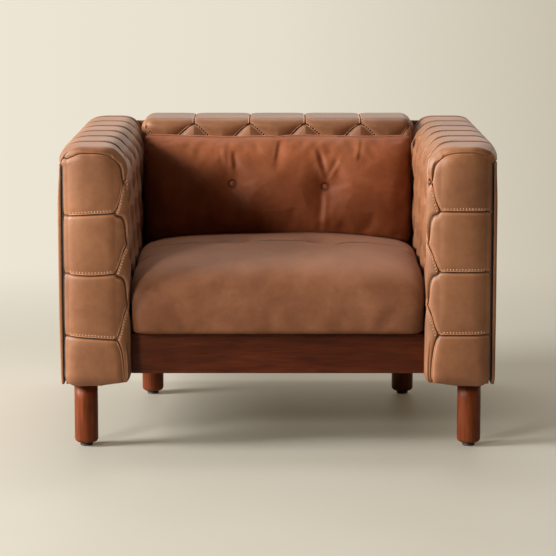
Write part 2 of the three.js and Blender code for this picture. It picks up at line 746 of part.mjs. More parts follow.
function pillowSkin() {
  const { across, up } = pillowLineShares;
  const dimpleOf = (b, x, z) => pillowDimple * dimple(Math.hypot(x - b.x, z - b.z), pillowDimpleReach);
  const place = (x, side, z) => {
    const sunk = side < 0 ? Math.max(...pillowButtons.map((b) => dimpleOf(b, x, z))) : 0;
    const thickness = pillowThickness(x / pillowHalf, (z - pillowBottom) / pillowHeight);
    return [x, pillowMiddle + side * thickness + sunk, z];
  };
  const xs = linesRound(pillowButtons.map((b) => b.x), pillowDimpleReach, [-pillowHalf, pillowHalf],
    [0, ...across.flatMap((share) => [-share * pillowHalf, share * pillowHalf])]);
  const zs = [...pillowButtons.map((b) => b.z), ...up.map((share) => pillowBottom + share * pillowHeight)];
  return boxSkin(xs, [-1, 1], zs.sort((a, b) => a - b), place);
}

// The back cushion stands on the seat cushion, so its sole follows the seat's crown
function addBackCushion() {
  const faceFront = (geometry) => geometry.rotateX(Math.PI / 2);
  const half = pillowHalf - pillowCoreInset;
  const front = pillowMiddle - pillowCoreHalfThickness;
  const rear = pillowMiddle + pillowCoreHalfThickness;
  const top = pillowTop - pillowCoreDrop;
  const bottom = seatCrownTop + overrun;
  const places = pillowButtons.map((b) => [b.x, pillowMiddle - pillowHalfThickness + pillowDimple, b.z]);
  const cavity = block([-half - fit, half + fit], [front - fit, rear + fit], [pillowBottom - overrun, top + fit]);
  const raisedSeat = seatSolid.clone().translate(0, 0, fit);
  const seats = places.map((place) => buttonSeat(place, faceFront));
  add('back_cushion_cover', cut(pillowSkin(), [raisedSeat, cavity, ...seats]), leather);
  add('back_cushion_fill', block([-half, half], [front, rear], [bottom, top]), fibre);
  pillowButtons.forEach((b, i) => add(`back_button_${b.side}`, button(places[i], faceFront), leather));
}

addArms();
addOutsidePanels();
addBack();
addSeatFrame();
addDeck();
addDustCover();
addLegs();
addSeatCushion();
addBackCushion();

export default chair;
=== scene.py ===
import math

import bpy
import numpy as np
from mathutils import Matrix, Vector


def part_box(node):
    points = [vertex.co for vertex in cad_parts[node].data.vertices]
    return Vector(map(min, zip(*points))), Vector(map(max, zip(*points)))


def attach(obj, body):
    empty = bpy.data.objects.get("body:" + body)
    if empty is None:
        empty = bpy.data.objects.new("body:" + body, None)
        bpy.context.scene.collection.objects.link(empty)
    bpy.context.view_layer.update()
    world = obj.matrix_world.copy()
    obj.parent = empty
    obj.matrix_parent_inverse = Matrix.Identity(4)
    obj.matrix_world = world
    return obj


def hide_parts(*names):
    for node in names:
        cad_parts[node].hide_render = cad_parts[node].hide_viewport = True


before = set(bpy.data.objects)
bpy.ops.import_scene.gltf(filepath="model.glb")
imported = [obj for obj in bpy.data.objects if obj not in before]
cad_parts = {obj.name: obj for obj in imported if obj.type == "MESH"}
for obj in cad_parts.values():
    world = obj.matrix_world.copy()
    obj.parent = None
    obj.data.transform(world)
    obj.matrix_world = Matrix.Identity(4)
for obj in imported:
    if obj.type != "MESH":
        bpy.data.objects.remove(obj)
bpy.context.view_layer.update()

# Seat frame. Sawn hardwood rails, posts and leg blocks, glued and screwed together and hidden by the upholstery.
# The front rail is a planed and lacquered walnut board with softened edges that shows between the arms.

half_depth = 442.5


def metres(points):
    """Points in millimetres, with y measured back from the front of the arms, as metres about the chair's middle."""
    return (np.asarray(points, dtype=float) - (0, half_depth, 0)) / 1000


def millimetres(points):
    """Points in metres about the chair's middle as millimetres, with y measured back from the front of the arms."""
    return np.asarray(points, dtype=float) * 1000 + (0, half_depth, 0)


def box_of(node):
    """The low and high corners of a CAD node in millimetres."""
    return [millimetres(corner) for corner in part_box(node)]


def new_mesh(name, points, faces):
    """A mesh from points in metres and from faces."""
    mesh = bpy.data.meshes.new(name)
    mesh.from_pydata(points.tolist(), [], [list(map(int, face)) for face in faces])
    return mesh


def add_object(name, data):
    """A new object in the scene from a mesh, a lamp or a lens."""
    made = bpy.data.objects.new(name, data)
    bpy.context.scene.collection.objects.link(made)
    return made


def add_piece(name, points, faces, material, body, slot, replaced=(), painted_shade=0.0, painted_highlight_and_wear=0.0):
    """Makes a piece from points in millimetres and from faces, dresses it, and hangs it on its body. The two shades
    that leather reads are painted shade and painted highlight with some wear, one for all points or one for each."""
    mesh = new_mesh(name, metres(points), faces)
    mesh.materials.append(material)
    mesh.polygons.foreach_set("use_smooth", [True] * len(mesh.polygons))
    for shade, values in (("painted_shade", painted_shade), ("painted_highlight_and_wear", painted_highlight_and_wear)):
        values = np.full(len(points), values, dtype=float)
        mesh.attributes.new(shade, "FLOAT", "POINT").data.foreach_set("value", values)
    piece = add_object(name, mesh)
    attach(piece, body)
    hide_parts(*replaced)
    return piece


def grid_faces(rows, columns, closed=False):
    """Squares between neighbouring points of a grid; a closed grid joins its last column to its first."""
    i, j = np.meshgrid(np.arange(rows - 1), np.arange(columns if closed else columns - 1), indexing="ij")
    k = (j + 1) % columns
    return np.stack([i * columns + j, i * columns + k, (i + 1) * columns + k, (i + 1) * columns + j], -1).reshape(-1, 4)


def box_skin(xs, ys, zs, keep=None):
    """The skin of a box ruled by the given lines: a grid on each side, with the shared edges welded. keep takes the
    axis of a side, its end (0 or -1) and the middles of its squares, and says which squares stay."""
    lines = [np.asarray(values, dtype=float) for values in (xs, ys, zs)]
    points, faces, total = [], [], 0
    for axis in range(3):
        across, up = (axis + 1) % 3, (axis + 2) % 3
        grid = np.stack(np.meshgrid(lines[across], lines[up], indexing="ij"), -1).reshape(-1, 2)
        for end in (0, -1):
            side = np.empty((len(grid), 3))
            side[:, across], side[:, up], side[:, axis] = grid[:, 0], grid[:, 1], lines[axis][end]
            squares = grid_faces(len(lines[across]), len(lines[up]))
            squares = squares[:, ::-1] if end else squares
            if keep:
                squares = squares[keep(axis, end, side[squares].mean(axis=1))]
            points.append(side)
            faces.append(squares + total)
            total += len(side)
    points, faces = np.concatenate(points), np.concatenate(faces)
    used, faces = np.unique(faces, return_inverse=True)
    points = points[used]
    _, first, weld = np.unique(np.round(points, 5), axis=0, return_index=True, return_inverse=True)
    return points[first], weld.reshape(-1)[faces.reshape(-1, 4)]


def rounded(points, low, high, low_sweep, high_sweep):
    """Rounds the edges and corners of a box. Within its sweep of a side a point leans from 0 to 1; the leans are
    scaled until their length is the largest of them, which bends each edge into a quarter of an ellipse. Gives the
    places and the normals, which are nothing where a side is flat."""
    points, low, high, low_sweep, high_sweep = (
        np.asarray(values, dtype=float) for values in (points, low, high, low_sweep, high_sweep))
    to_high = (high_sweep > 0) & (points > high - high_sweep)
    to_low = (low_sweep > 0) & (points < low + low_sweep) & ~to_high
    sweep = np.where(to_high, high_sweep, np.where(to_low, low_sweep, 1.0))
    lean = np.where(to_high, 1 + (points - high) / sweep, np.where(to_low, (points - low) / sweep - 1, 0.0))
    length = np.maximum(np.linalg.norm(lean, axis=1, keepdims=True), 1e-9)
    shrink = np.abs(lean).max(axis=1, keepdims=True) / length
    normal = lean / sweep
    normal /= np.maximum(np.linalg.norm(normal, axis=1, keepdims=True), 1e-9)
    return points + np.where(lean == 0, 0, sweep * lean * (shrink - 1)), normal


def ruled(low, high, radius, step):
    """Lines from low to high that gather within radius of either end."""
    near = radius * np.array([0, 0.2, 0.42, 0.7, 1])
    middle = np.linspace(low + radius, high - radius, max(2, int((high - low - 2 * radius) / step) + 1))
    return np.concatenate([low + near[:-1], middle, (high - near[:-1])[::-1]])


def soft_block(low, high, radius, step=40):
    """A closed block whose edges are rounded by one radius, or by one radius along each axis."""
    radii = np.broadcast_to(radius, 3).astype(float)
    points, faces = box_skin(*(ruled(low[i], high[i], radii[i], step) for i in range(3)))
    return rounded(points, low, high, radii, radii)[0], faces


class Look:
    """A material made of nodes. Its colours are linear, and its patterns read the place on the piece in metres."""

    def __init__(self, name, roughness, metallic=0.0, specular=0.5, sheen=0.0):
        self.material = bpy.data.materials.new(name)
        self.material.use_nodes = True
        self.tree = self.material.node_tree
        self.shader = self.tree.nodes["Principled BSDF"]
        for key, value in (("Roughness", roughness), ("Metallic", metallic), ("Specular IOR Level", specular),
                           ("Sheen Weight", sheen)):
            self.shader.inputs[key].default_value = value
        self.place = self.add("TexCoord", {}, output=3)

    def add(self, kind, inputs, output=0, **settings):
        """Adds a node, sets its inputs and links those that are sockets. Gives one of its outputs."""
        node = self.tree.nodes.new("ShaderNode" + kind)
        for setting, value in settings.items():
            setattr(node, setting, value)
        for key, value in inputs.items():
            if isinstance(value, bpy.types.NodeSocket):
                self.tree.links.new(value, node.inputs[key])
            else:
                node.inputs[key].default_value = value
        return node.outputs[output]

    def plug(self, socket, key):
        """Links an output to an input of the shader."""
        self.tree.links.new(socket, self.shader.inputs[key])

    def maths(self, operation, a, b):
        return self.add("Math", {0: a, 1: b}, operation=operation)

    def mix(self, factor, a, b, **settings):
        return self.add("Mix", {"Factor": factor, "A": a, "B": b}, output=2, data_type="RGBA", **settings)

    def noise(self, scale, detail, roughness=0.5, distortion=0.0, stretch=None):
        """A noise, which may be stretched by a scale along each axis."""
        place = self.add("Mapping", {"Vector": self.place, "Scale": stretch}) if stretch else self.place
        return self.add("TexNoise", {"Vector": place, "Scale": scale, "Detail": detail, "Roughness": roughness,
                                     "Distortion": distortion})

    def remap(self, value, low, high, from_low=0.0, from_high=1.0, **settings):
        return self.add("MapRange", {"Value": value, "From Min": from_low, "From Max": from_high, "To Min": low,
                                     "To Max": high}, **settings)

    def tones(self, factor, *stops):
        """Colours blended along a factor; stops are pairs of a place from 0 to 1 and a colour."""
        ramp = self.add("ValToRGB", {"Fac": factor}).node
        while len(ramp.color_ramp.elements) < len(stops):
            ramp.color_ramp.elements.new(0.5)
        for element, (place, colour) in zip(ramp.color_ramp.elements, stops):
            element.position, element.color = place, (*colour, 1)
        return ramp.outputs[0]

    def speckle(self, factor, dark, light):
        """Colours the piece by a noise, in two tones."""
        self.plug(self.tones(factor, (0.3, dark), (0.7, light)), "Base Color")

    def bump(self, height, distance, strength):
        self.plug(self.add("Bump", {"Height": height, "Distance": distance, "Strength": strength}), "Normal")


def wood(name, dark, middle, light, along, roughness):
    """Wood cut along an axis: long noise streaks for the growth rings, finer ones for the pores, which also sink."""
    look = Look(name, roughness, specular=0.18)
    streaks = look.noise(1, 6, 0.62, 0.9, stretch=[4 if axis == along else 38 for axis in "XYZ"])
    pores = look.noise(1, 2, stretch=[14 if axis == along else 620 for axis in "XYZ"])
    dimmed = look.remap(pores, 0.6, 1.0, 0.34, 0.5)
    grey = look.add("CombineColor", {"Red": dimmed, "Green": dimmed, "Blue": dimmed})
    figure = look.tones(streaks, (0.3, dark), (0.5, middle), (0.72, light))
    look.plug(look.mix(1.0, figure, grey, blend_type="MULTIPLY"), "Base Color")
    look.plug(look.remap(streaks, roughness - 0.08, roughness + 0.1), "Roughness")
    look.bump(pores, 0.0002, 0.35)
    return look.material


def dress(node, material):
    """Gives a CAD node that still shows its only material."""
    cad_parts[node].data.materials.clear()
    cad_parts[node].data.materials.append(material)


for way, axis, timbers in (("across", "X", ("inner_front_rail", "back_rail", "back_top_rail")),
                           ("deep", "Y", ("side_rail", "arm_top_rail", "arm_bottom_rail", "rear_leg_block")),
                           ("upright", "Z", ("arm_front_board", "arm_rear_post", "back_post"))):
    sawn = wood("sawn_hardwood_" + way, (0.30, 0.18, 0.085), (0.42, 0.27, 0.14), (0.52, 0.36, 0.2), axis, 0.78)
    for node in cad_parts:
        if node.startswith(timbers):
            dress(node, sawn)

walnut = wood("lacquered_walnut", (0.044, 0.0081, 0.0013), (0.080, 0.0145, 0.0026), (0.120, 0.0255, 0.0052), "X", 0.42)
points, faces = soft_block(*box_of("front_rail"), 1.6, step=60)
add_piece("walnut_front_rail", points, faces, walnut, "frame", "walnut", ["front_rail"])

# Seat support. Elastic webbing runs front to back with three bands over it, stapled to the rails; a felt pad
# spreads the load above it, and a thin cloth stapled under the rails keeps the dust out.


def cloth(name, dark, light, threads):
    """Woven cloth: two bands of waves across each other stand for the threads, over a soft change of tone."""
    look = Look(name, 0.92, specular=0.2, sheen=0.15)
    warp, weft = (look.add("TexWave", {"Vector": look.place, "Scale": threads, "Distortion": 0.6}, output=1,
                           bands_direction=way) for way in "XY")
    weave = look.maths("MULTIPLY", warp, weft)
    blend = look.maths("ADD", look.maths("MULTIPLY", weave, 0.6), look.maths("MULTIPLY", look.noise(30, 4), 0.5))
    look.plug(look.tones(blend, (0.1, dark), (0.9, light)), "Base Color")
    look.bump(weave, 0.0003, 0.5)
    return look.material


def strip(low, high, along):
    """A flat woven strip with rounded edges, its faces raised in seven fine ribs that run along it."""
    ribs, across, middle = 7, 1 - along, (low[2] + high[2]) / 2
    points, faces = soft_block(low, high, [min(1.0, (high[i] - low[i]) / 2.01) for i in range(3)], step=2.5)
    share = (points[:, across] - low[across]) / (high[across] - low[across])
    points[:, 2] = middle + (points[:, 2] - middle) * (0.86 + 0.12 * np.cos(2 * np.pi * ribs * share))
    return points, faces


webbing = cloth("elastic_webbing", (0.014, 0.013, 0.012), (0.05, 0.047, 0.043), 140)
for count, prefix, along in ((4, "seat_strap_", 1), (3, "cross_strap_", 0)):
    for i in range(count):
        node = prefix + str(i + 1)
        points, faces = strip(*box_of(node), along)
        add_piece("woven_" + node, points, faces, webbing, "frame", "webbing", [node])

felt = cloth("pressed_felt", (0.035, 0.03, 0.025), (0.085, 0.075, 0.063), 420)
points, faces = soft_block(*box_of("seat_deck"), [4, 4, 5], step=30)
deck = add_piece("felt_seat_deck", points, faces, felt, "frame", "lining_cloth", ["seat_deck"])

# The dust cloth is cut away past both of these lines, round the blocks of the rear legs
notch_x, notch_y = 253.0, 630.0


def dust_cloth(low, high):
    """A thin cloth pulled flat, with both rear corners cut away: a grid of its top and its underside whose squares
    past both notch lines are left out, walled round its outline."""
    xs = np.unique(np.concatenate([np.linspace(-notch_x, notch_x, 25), [low[0], high[0]]]))
    ys = np.unique(np.concatenate([np.linspace(low[1], notch_y, 21), np.linspace(notch_y, high[1], 5)]))

    def keep(axis, end, middles):
        if axis != 2:
            return np.zeros(len(middles), bool)
        return ~((np.abs(middles[:, 0]) > notch_x) & (middles[:, 1] > notch_y))

    points, faces = box_skin(xs, ys, [low[2], high[2]], keep)
    edges = np.sort(np.stack([faces, np.roll(faces, -1, axis=1)], -1).reshape(-1, 2), axis=1)
    ends, counts = np.unique(edges, axis=0, return_counts=True)
    directed = {(a, b) for face in faces for a, b in zip(face, np.roll(face, -1))}
    order = {tuple(np.round(p, 3)): i for i, p in enumerate(points)}
    top = points[:, 2] > (low[2] + high[2]) / 2
    walls = []
    for a, b in ends[counts == 1]:
        if top[a] and top[b]:
            a, b = (a, b) if (a, b) in directed else (b, a)
            under = [order[(*np.round(points[v, :2], 3), round(low[2], 3))] for v in (a, b)]
            walls.append([b, a, *under])
    return points, np.concatenate([faces, np.array(walls)])


lining = cloth("lining_cloth", (0.02, 0.018, 0.016), (0.05, 0.045, 0.04), 520)
cloth_low, cloth_high = box_of("dust_cover")
points, faces = dust_cloth(cloth_low, cloth_high)
dust = add_piece("stapled_dust_cloth", points, faces, lining, "frame", "lining_cloth", ["dust_cover"])

# Legs. Round walnut legs turned from solid wood with a rounded foot, screwed up into the frame by a plated bolt;
# a dark plastic glide is nailed under each.


def lathe(profile, sides, centre):
    """Turns a profile of (radius, height) round an upright axis. The first and last points lie on the axis."""
    profile = np.asarray(profile, dtype=float)
    angles = np.linspace(0, 2 * np.pi, sides, endpoint=False)
    rings = profile[1:-1]
    x = centre[0] + np.outer(rings[:, 0], np.cos(angles))
    y = centre[1] + np.outer(rings[:, 0], np.sin(angles))
    z = np.repeat(rings[:, 1:2], sides, axis=1)
    points = np.concatenate([np.stack([x, y, z], -1).reshape(-1, 3),
                             [[*centre, profile[0, 1]], [*centre, profile[-1, 1]]]])
    last = (len(rings) - 1) * sides
    side = np.arange(sides)
    following = (side + 1) % sides
    start = [[len(points) - 2, b, a] for a, b in zip(side, following)]
    end = [[len(points) - 1, a, b] for a, b in zip(side + last, following + last)]
    return points, grid_faces(len(rings), sides, closed=True).tolist() + start + end


def arc(middle, radius, start, end, steps=6):
    """Points of (radius, height) round a quarter of a circle, from one angle in degrees to another."""
    angles = np.radians(np.linspace(start, end, steps))
    return [(middle[0] + radius * math.cos(a), middle[1] + radius * math.sin(a)) for a in angles]


leg_wood = wood("turned_walnut_leg", (0.085, 0.0158, 0.0025), (0.145, 0.0285, 0.005), (0.208, 0.0495, 0.010), "Z", 0.42)
glide_plastic = Look("moulded_glide_plastic", 0.55)
glide_plastic.speckle(glide_plastic.noise(400, 3), (0.012, 0.011, 0.010), (0.028, 0.025, 0.023))
plated = Look("zinc_plated_steel", 0.34, metallic=1.0)
brushed = plated.noise(1, 4, stretch=(900, 900, 40))
plated.speckle(brushed, (0.42, 0.43, 0.45), (0.66, 0.67, 0.68))
plated.plug(plated.remap(brushed, 0.25, 0.5), "Roughness")
leg_radius, foot_radius, leg_foot, leg_top = 27.0, 9.0, 8.3, 148.7
hole_radius, hole_top, bore_radius, bore_foot = 1.8, 24.6, 4.3, 108.4
leg_profile = [(0, hole_top), (hole_radius, hole_top), (hole_radius, leg_foot)] + arc(
    (leg_radius - foot_radius, leg_foot + foot_radius), foot_radius, -90, 0) + [
    (leg_radius, 60), (leg_radius, 110), (leg_radius, leg_top - 1)] + arc(
    (leg_radius - 1, leg_top - 1), 1, 0, 90, 3) + [(bore_radius, leg_top), (bore_radius, bore_foot), (0, bore_foot)]
glide_profile = [(0, 0)] + arc((12, 2.5), 2.5, -90, 0) + [(14.5, 6.5)] + arc((13, 6.5), 1.5, 0, 90, 4) + [
    (1.5, 8), (1.5, 23), (0, 24.3)]
for end, x, y in (("front", 440, 75), ("rear", 319, 684)):
    for side, sign in (("left", 1), ("right", -1)):
        points, faces = lathe(leg_profile, 72, (sign * x, y))
        add_piece(f"turned_{end}_leg_{side}", points, faces, leg_wood, "frame", "leg_wood", [f"{end}_leg_{side}"])
        points, faces = lathe(glide_profile, 48, (sign * x, y))
        add_piece(f"nail_glide_{end}_{side}", points, faces, glide_plastic.material, "frame", "glide_plastic",
                  [f"{end}_glide_{side}"])
        dress(f"{end}_leg_bolt_{side}", plated.material)

# Arms. Foam over a timber box, covered in one tan leather that is folded into diamonds on the inner face, pleated
# over the top and seamed in blocks on the front. The folds are sewn, so rolled lips and stitches follow each one.


def foam_material(name, dark, light, cells):
    """Open-cell foam or fibre: small cells darken and pit the surface, over a soft change of tone."""
    look = Look(name, 0.95, specular=0.1, sheen=0.2)
    pits = look.add("TexVoronoi", {"Vector": look.place, "Scale": cells})
    blend = look.maths("MULTIPLY", look.maths("ADD", pits, look.noise(12, 3)), 0.6)
    look.plug(look.tones(blend, (0.1, dark), (0.7, light)), "Base Color")
    look.bump(pits, 0.0006, 0.6)
    return look.material


def leather(name, deep, middle, pale, roughness, mottle, sheen, specular):
    """Aniline leather. Two noises mix deep, middle and pale tones; one attribute paints shade into it, darkest in its
    folds and grooves, and another paints highlight, with some wear, on its rolled edges and lit tops; a pebble grain
    of small cells and finer creases give the bump."""
    look = Look(name, roughness, specular=specular, sheen=sheen)
    spots = look.noise(mottle * 9, 4, 0.7)
    clouds = look.maths("ADD", look.noise(mottle, 5, 0.62, 0.4), look.remap(spots, -0.16, 0.16))
    painted_highlight_and_wear, painted_shade = (look.add("Attribute", {}, output=2, attribute_type="GEOMETRY", attribute_name=shade)
                  for shade in ("painted_highlight_and_wear", "painted_shade"))
    # Painted highlight, with some wear: the colour is paled where the highlight attribute is high
    paled = look.mix(painted_highlight_and_wear, look.tones(clouds, (0.32, deep), (0.5, middle), (0.7, pale)),
                     (*[min(1.0, 1.75 * c + 0.035) for c in pale], 1))
    # Painted shade: the colour is darkened towards a near-black where the shade attribute is high
    look.plug(look.mix(painted_shade, paled, (*[0.13 * c for c in deep], 1)), "Base Color")
    pebbles = look.add("TexVoronoi", {"Vector": look.place, "Scale": 520.0}, feature="DISTANCE_TO_EDGE")
    look.bump(look.maths("ADD", pebbles, look.noise(150, 6, 0.65)), 0.0003, 0.3)
    look.plug(look.remap(spots, roughness - 0.07, roughness + 0.09, 0.25, 0.75), "Roughness")
    return look.material


def add_filling(name, node, radius, material, body, slot):
    """Adds a padded block in the place of a CAD node."""
    points, faces = soft_block(*box_of(node), radius)
    add_piece(name, points, faces, material, body, slot, [node])


tan = leather("tan_leather", (0.176, 0.063, 0.0215), (0.228, 0.086, 0.031), (0.280, 0.113, 0.0435), 0.5, 6.0, 0.06, 0.46)
thread = Look("waxed_thread", 0.6, sheen=0.1)
thread.speckle(thread.noise(900, 2), (0.50, 0.30, 0.18), (0.78, 0.56, 0.38))
foam = foam_material("polyurethane_foam", (0.55, 0.47, 0.28), (0.80, 0.73, 0.50), 700.0)
for node in ("arm_top_foam_left", "arm_top_foam_right", "arm_side_foam_left", "arm_side_foam_right"):
    add_filling("cut_" + node, node, 5, foam, "frame", "foam")

# The diamonds have a pitch along the arm and a rise; w counts them down from the top row, and u counts them along q, the
# way across the front towards the inner face, whose shared corner is at 0, and then back along that face
tuft_pitch, tuft_rise, tuft_top, tuft_margin, tuft_rows, half_steps = 140.0, 137.5, 682.0, 13.0, 3, 24
split, corner_tuft, first_fold = -28.5, 7.5, 153.0
arm_inner, arm_foot, arm_outer, arm_rear, arm_top = 334.0, 149.0, 482.2, 872.2, 695.0
board_top, overhang, slow, belt = 655.8, 12.0, 0.35, 400.0


def ramp(share):
    """The share, held between 0 and 1."""
    return np.clip(share, 0, 1)


def eased(share):
    """A step from 0 to 1 that starts and ends level."""
    share = ramp(share)
    return share * share * (3 - 2 * share)


def bell(gap, width):
    """1 where the gap is nothing, falling away as a bell curve."""
    return np.exp(-(gap / width) ** 2)


def fold_share(cells):
    """How far a place is from the nearest fold, in cells: 0 on a whole number, a half in the middle."""
    return np.abs(cells - np.round(cells))


def plump(share, power):
    """Height of a stuffed cell over its folds: 0 on a fold and 1 on the crest, half a cell away."""
    return 1 - (1 - np.minimum(1, 2 * share)) ** power


def lattice_lines(low, high):
    """Places of grid lines, in cells, from low to high half cells: they gather at every half cell by a sine."""
    halves = np.arange(low * half_steps, high * half_steps + 1) / half_steps
    return (halves - 0.5 * np.sin(2 * np.pi * halves) / (2 * np.pi)) / 2


def skirt_reach(u):
    """How far past its front corner an arm has u cells. The first half cell ends in a tuft on the corner; the next is
    wide, eased by a sine at both its ends; the others keep the pitch."""
    turn = 2 * u - 1
    wide = corner_tuft + (first_fold - corner_tuft) * (turn - 0.5 * np.sin(2 * np.pi * turn) / (2 * np.pi))
    return np.select([u < 0.5, u < 1], [split + 2 * u * (corner_tuft - split), wide], tuft_margin + tuft_pitch * u)


all_cells = np.arange(-1440, 3360) / 480
all_reaches = skirt_reach(all_cells)
all_pitches = np.gradient(all_reaches, all_cells)


def skirt_cells(q):
    """Cells along the front and inner face of an arm, q mm past the corner between them."""
    return np.interp(q, all_reaches, all_cells)


def quilt(u, w, pitch):
    """Share of a cell to the nearest fold, that distance in mm, and how near a crossing is, u cells along and w cells
    down from the first crossing. Inside the rows of tufts u + w or u - w is whole on a fold. Above and below them
    the folds are straight where u is whole, and before the first column seams run where w is whole."""
    pair = np.stack([fold_share(u + w), fold_share(u - w)])
    level = fold_share(np.minimum(w, tuft_rows + 0.5))
    beside = np.where(w > tuft_rows, np.abs(u), 1)
    corner, upright = np.hypot(np.maximum(u, 0), w), fold_share(u)
    zones = [(w < 0) & (u < 0.5), w < 0, u < 0, w > tuft_rows]
    share = np.select(zones, [corner, upright, np.minimum(level, beside), upright], pair.min(axis=0))
    gap = np.select(zones, [corner * tuft_rise, upright * pitch, np.minimum(level * tuft_rise, beside * pitch),
                            upright * pitch], share / np.hypot(1 / pitch, 1 / tuft_rise))
    crossing = np.maximum(0, 1 - pair.max(axis=0) / 0.12) * (u >= 0) * (w >= 0) * (w <= tuft_rows)
    return share, gap, crossing


def arm_sweeps(points):
    """How far each edge of the arm's box is rounded: wide over its top inner edge, less along the middle of its top,
    and least at its foot. Gives the sweeps of the low sides and of the high sides."""
    x, y, z = points.T
    up, flat, back = ramp((z - 200) / 120), np.zeros(len(x)), ramp((y - 24) / 120)
    top = 28 + 38 * ramp((406 - x) / 62) + (12 - 20 * back) * ramp((x - 440) / 22)
    inner = 30 + 20 * up + (10 + 12 * back) * ramp((z - 590) / 50)
    front = 24 - 10 * ramp((x - 400) / 60)
    return np.stack([inner, front, flat + 28], -1), np.stack([30 + 16 * up - 20 * back, flat, top], -1)


def arm_drift(points, q, w, phase, slack):
    """How far the seams and folds wander from their even places: a few mm everywhere, a sag or a lift of each seam
    across the front, more of it on the slack arm, and a pull inwards at the foot of the front."""
    x, y, z = points.T
    window = np.sin(np.pi * ramp((z - arm_foot) / 546)) * (y < 700)
    out, close, closer, capped = ramp((x - 362) / 120), ramp(1 - y / 60), ramp(1 - y / 40), ramp((arm_top - z) / 30)
    first, second, third = (bell(w - row, slow) for row in (1, 2, 3))
    sag = slack * closer * ((9 * out - 12) * third - 6 * out * first - 4 * np.sin(np.pi * out) * second)
    lift = (1 - slack) * close * (5 * first + 7 * second)
    raised = (9.4 - 4.6 * slack) * (1 - slack * eased((x - 440) / 36)) * bell(w, 0.3) * close * capped
    corner = ramp((x - 436) / 46) * ramp(1 - y / 14)
    raised += (1 - slack) * 5.2 * corner ** 2 * ramp((z - 610) / 42) * capped
    pull = 21 * (1 - np.exp(-np.maximum(0, w - 3) * 4.5)) * (y <= 0)
    inward = pull * np.where(q < split, ramp((q - split + 60) / 60), ramp(q / split))
    return np.stack([-inward, 1.2 * np.sin(z / 71 + 2 * phase) * ramp(y / 100) * window,
                     sag + lift + raised + 1.5 * np.sin(y / 67 + phase + z / 83) * window], -1)


def arm_surface(points, phase, slack):
    """Sends points on the skin of the arm's box to its tufted cover. The folds bend round the front corner and wander;
    the box is rounded, bellied at the front and bulged over the panel, then sunk along its normal by the depth of the
    quilting and the pleats. Gives the places, the normals, the painted shade of the folds, the top pleats and the
    groove, and the painted highlight, with some wear, of the rolled lips."""
    x, y, z = points.T
    q = np.where((y > 0) & (x < belt), y, arm_inner - x)
    u, w = skirt_cells(q), (tuft_top - z) / tuft_rise
    drift = arm_drift(points, q, w, phase, slack)
    half = (u > 0) & (u < 0.5)
    bent = np.sin(2 * np.pi * u) * np.sin(2 * np.pi * w) * (half & (w > 0) & (w < 3) & (w % 1 < 0.5))
    turned = np.sin(np.pi * u) ** 2 * ((u > 0) & (u < 1) & (x < belt)) * eased((w - 0.6) / 0.3)
    slid = q + 11 * bent + 8 * turned
    warped = np.stack([arm_inner - np.minimum(slid, 0), np.maximum(slid, 0), z + 19 * bent], -1)
    points = np.where((bent + turned > 0)[:, None], warped, points)
    place, normal = rounded(points + drift, [arm_inner, 0, arm_foot], [arm_outer, arm_rear, arm_top],
                            *arm_sweeps(points))
    place[:, 1] += 4.5 * ramp(np.abs(x - 423) / 60) ** 2 * eased(-1.4 * normal[:, 1]) * ramp((z - arm_foot) / 40)
    along = (y - tuft_margin) / tuft_pitch
    past = np.where(along < 0.5, y + tuft_margin, tuft_pitch * (along - np.round(along)))
    over = ramp((z - board_top) / (4.5 + 34 * ramp(1 - y / 60)))
    crowned = 0.0058 * slack * np.maximum(0, place[:, 0] - 440) ** 2
    bulge = overhang + 3 * (1 - slack) - 6 * ramp((90 - y) / 60) - 5 * bell(past, 14)
    place[:, 0] += bulge * np.sqrt(1 - (1 - over) ** 2) * eased((x - 442) / 40) + 1.6 * ramp((x - 455) / 27)
    place[:, 2] += (2 * ramp(y / 850) - crowned) * eased((z - 640) / 50)
    share, gap, crossing = quilt(u, w, np.interp(q, all_reaches, all_pitches))
    turn = eased((q - split) / 170)
    kept = 1 - (1 - slack) * (z > 640) * eased((place[:, 0] - 462) / 12)
    slit = kept * bell(gap, 1.8 + 0.7 * turn)
    skirt = (4 + 8 * turn) * (1 - plump(share, 6 - 3.6 * turn)) + (2.6 + 1.4 * turn) * slit + (
        5.5 * eased((q - 30) / 90) * crossing)
    hidden = (u >= 5) | ((y > 52) & (w > 3))
    skirt = np.where(hidden, np.where(u >= 5, 12.0, 0.0), skirt)
    inner = ramp((410 - x) / 60)
    ahead_of = (3.6 + 5 * inner) * np.maximum(0, 1 + past / 70) ** (6 - 2.5 * inner)
    behind_it = (3.6 + 5 * inner) * bell(past, 3.2 + inner) - 0.8 * bell(past - 8, 4)
    beside = np.minimum(normal[:, 0], 0) ** 2 + np.minimum(normal[:, 1], 0) ** 2
    up = np.maximum(normal[:, 2], 0) ** 2
    faint = np.where(half, np.where(w % 1 > 0.5, 0.55, 1 - 0.6 * ramp(2 * u) ** 5), 1.0)
    # Painted shade in the groove beside the panel, along the top pleats and in the slits of the folds
    painted_groove_shade = ramp((place[:, 0] - 479.8) / 1.2) * (y < 60) * (z < 652)
    pleat = bell(past - 1, 3.4 + 2.4 * inner) * (0.8 + 0.2 * inner) * np.minimum(1, (1 + inner) * up)
    dark = slit * faint * (1 - 0.55 * crossing) * beside * ~hidden + pleat + painted_groove_shade
    # Painted highlight, with some wear, on the rolled lips beside the folds and behind the top pleats
    rolled = bell(gap - 5, 2.4) * beside * ~hidden + bell(past - 9, 4.0) * up
    place -= (beside * skirt + up * np.where(past < 0, ahead_of, behind_it))[:, None] * normal
    return place, normal, ramp(dark), ramp(0.3 * rolled)


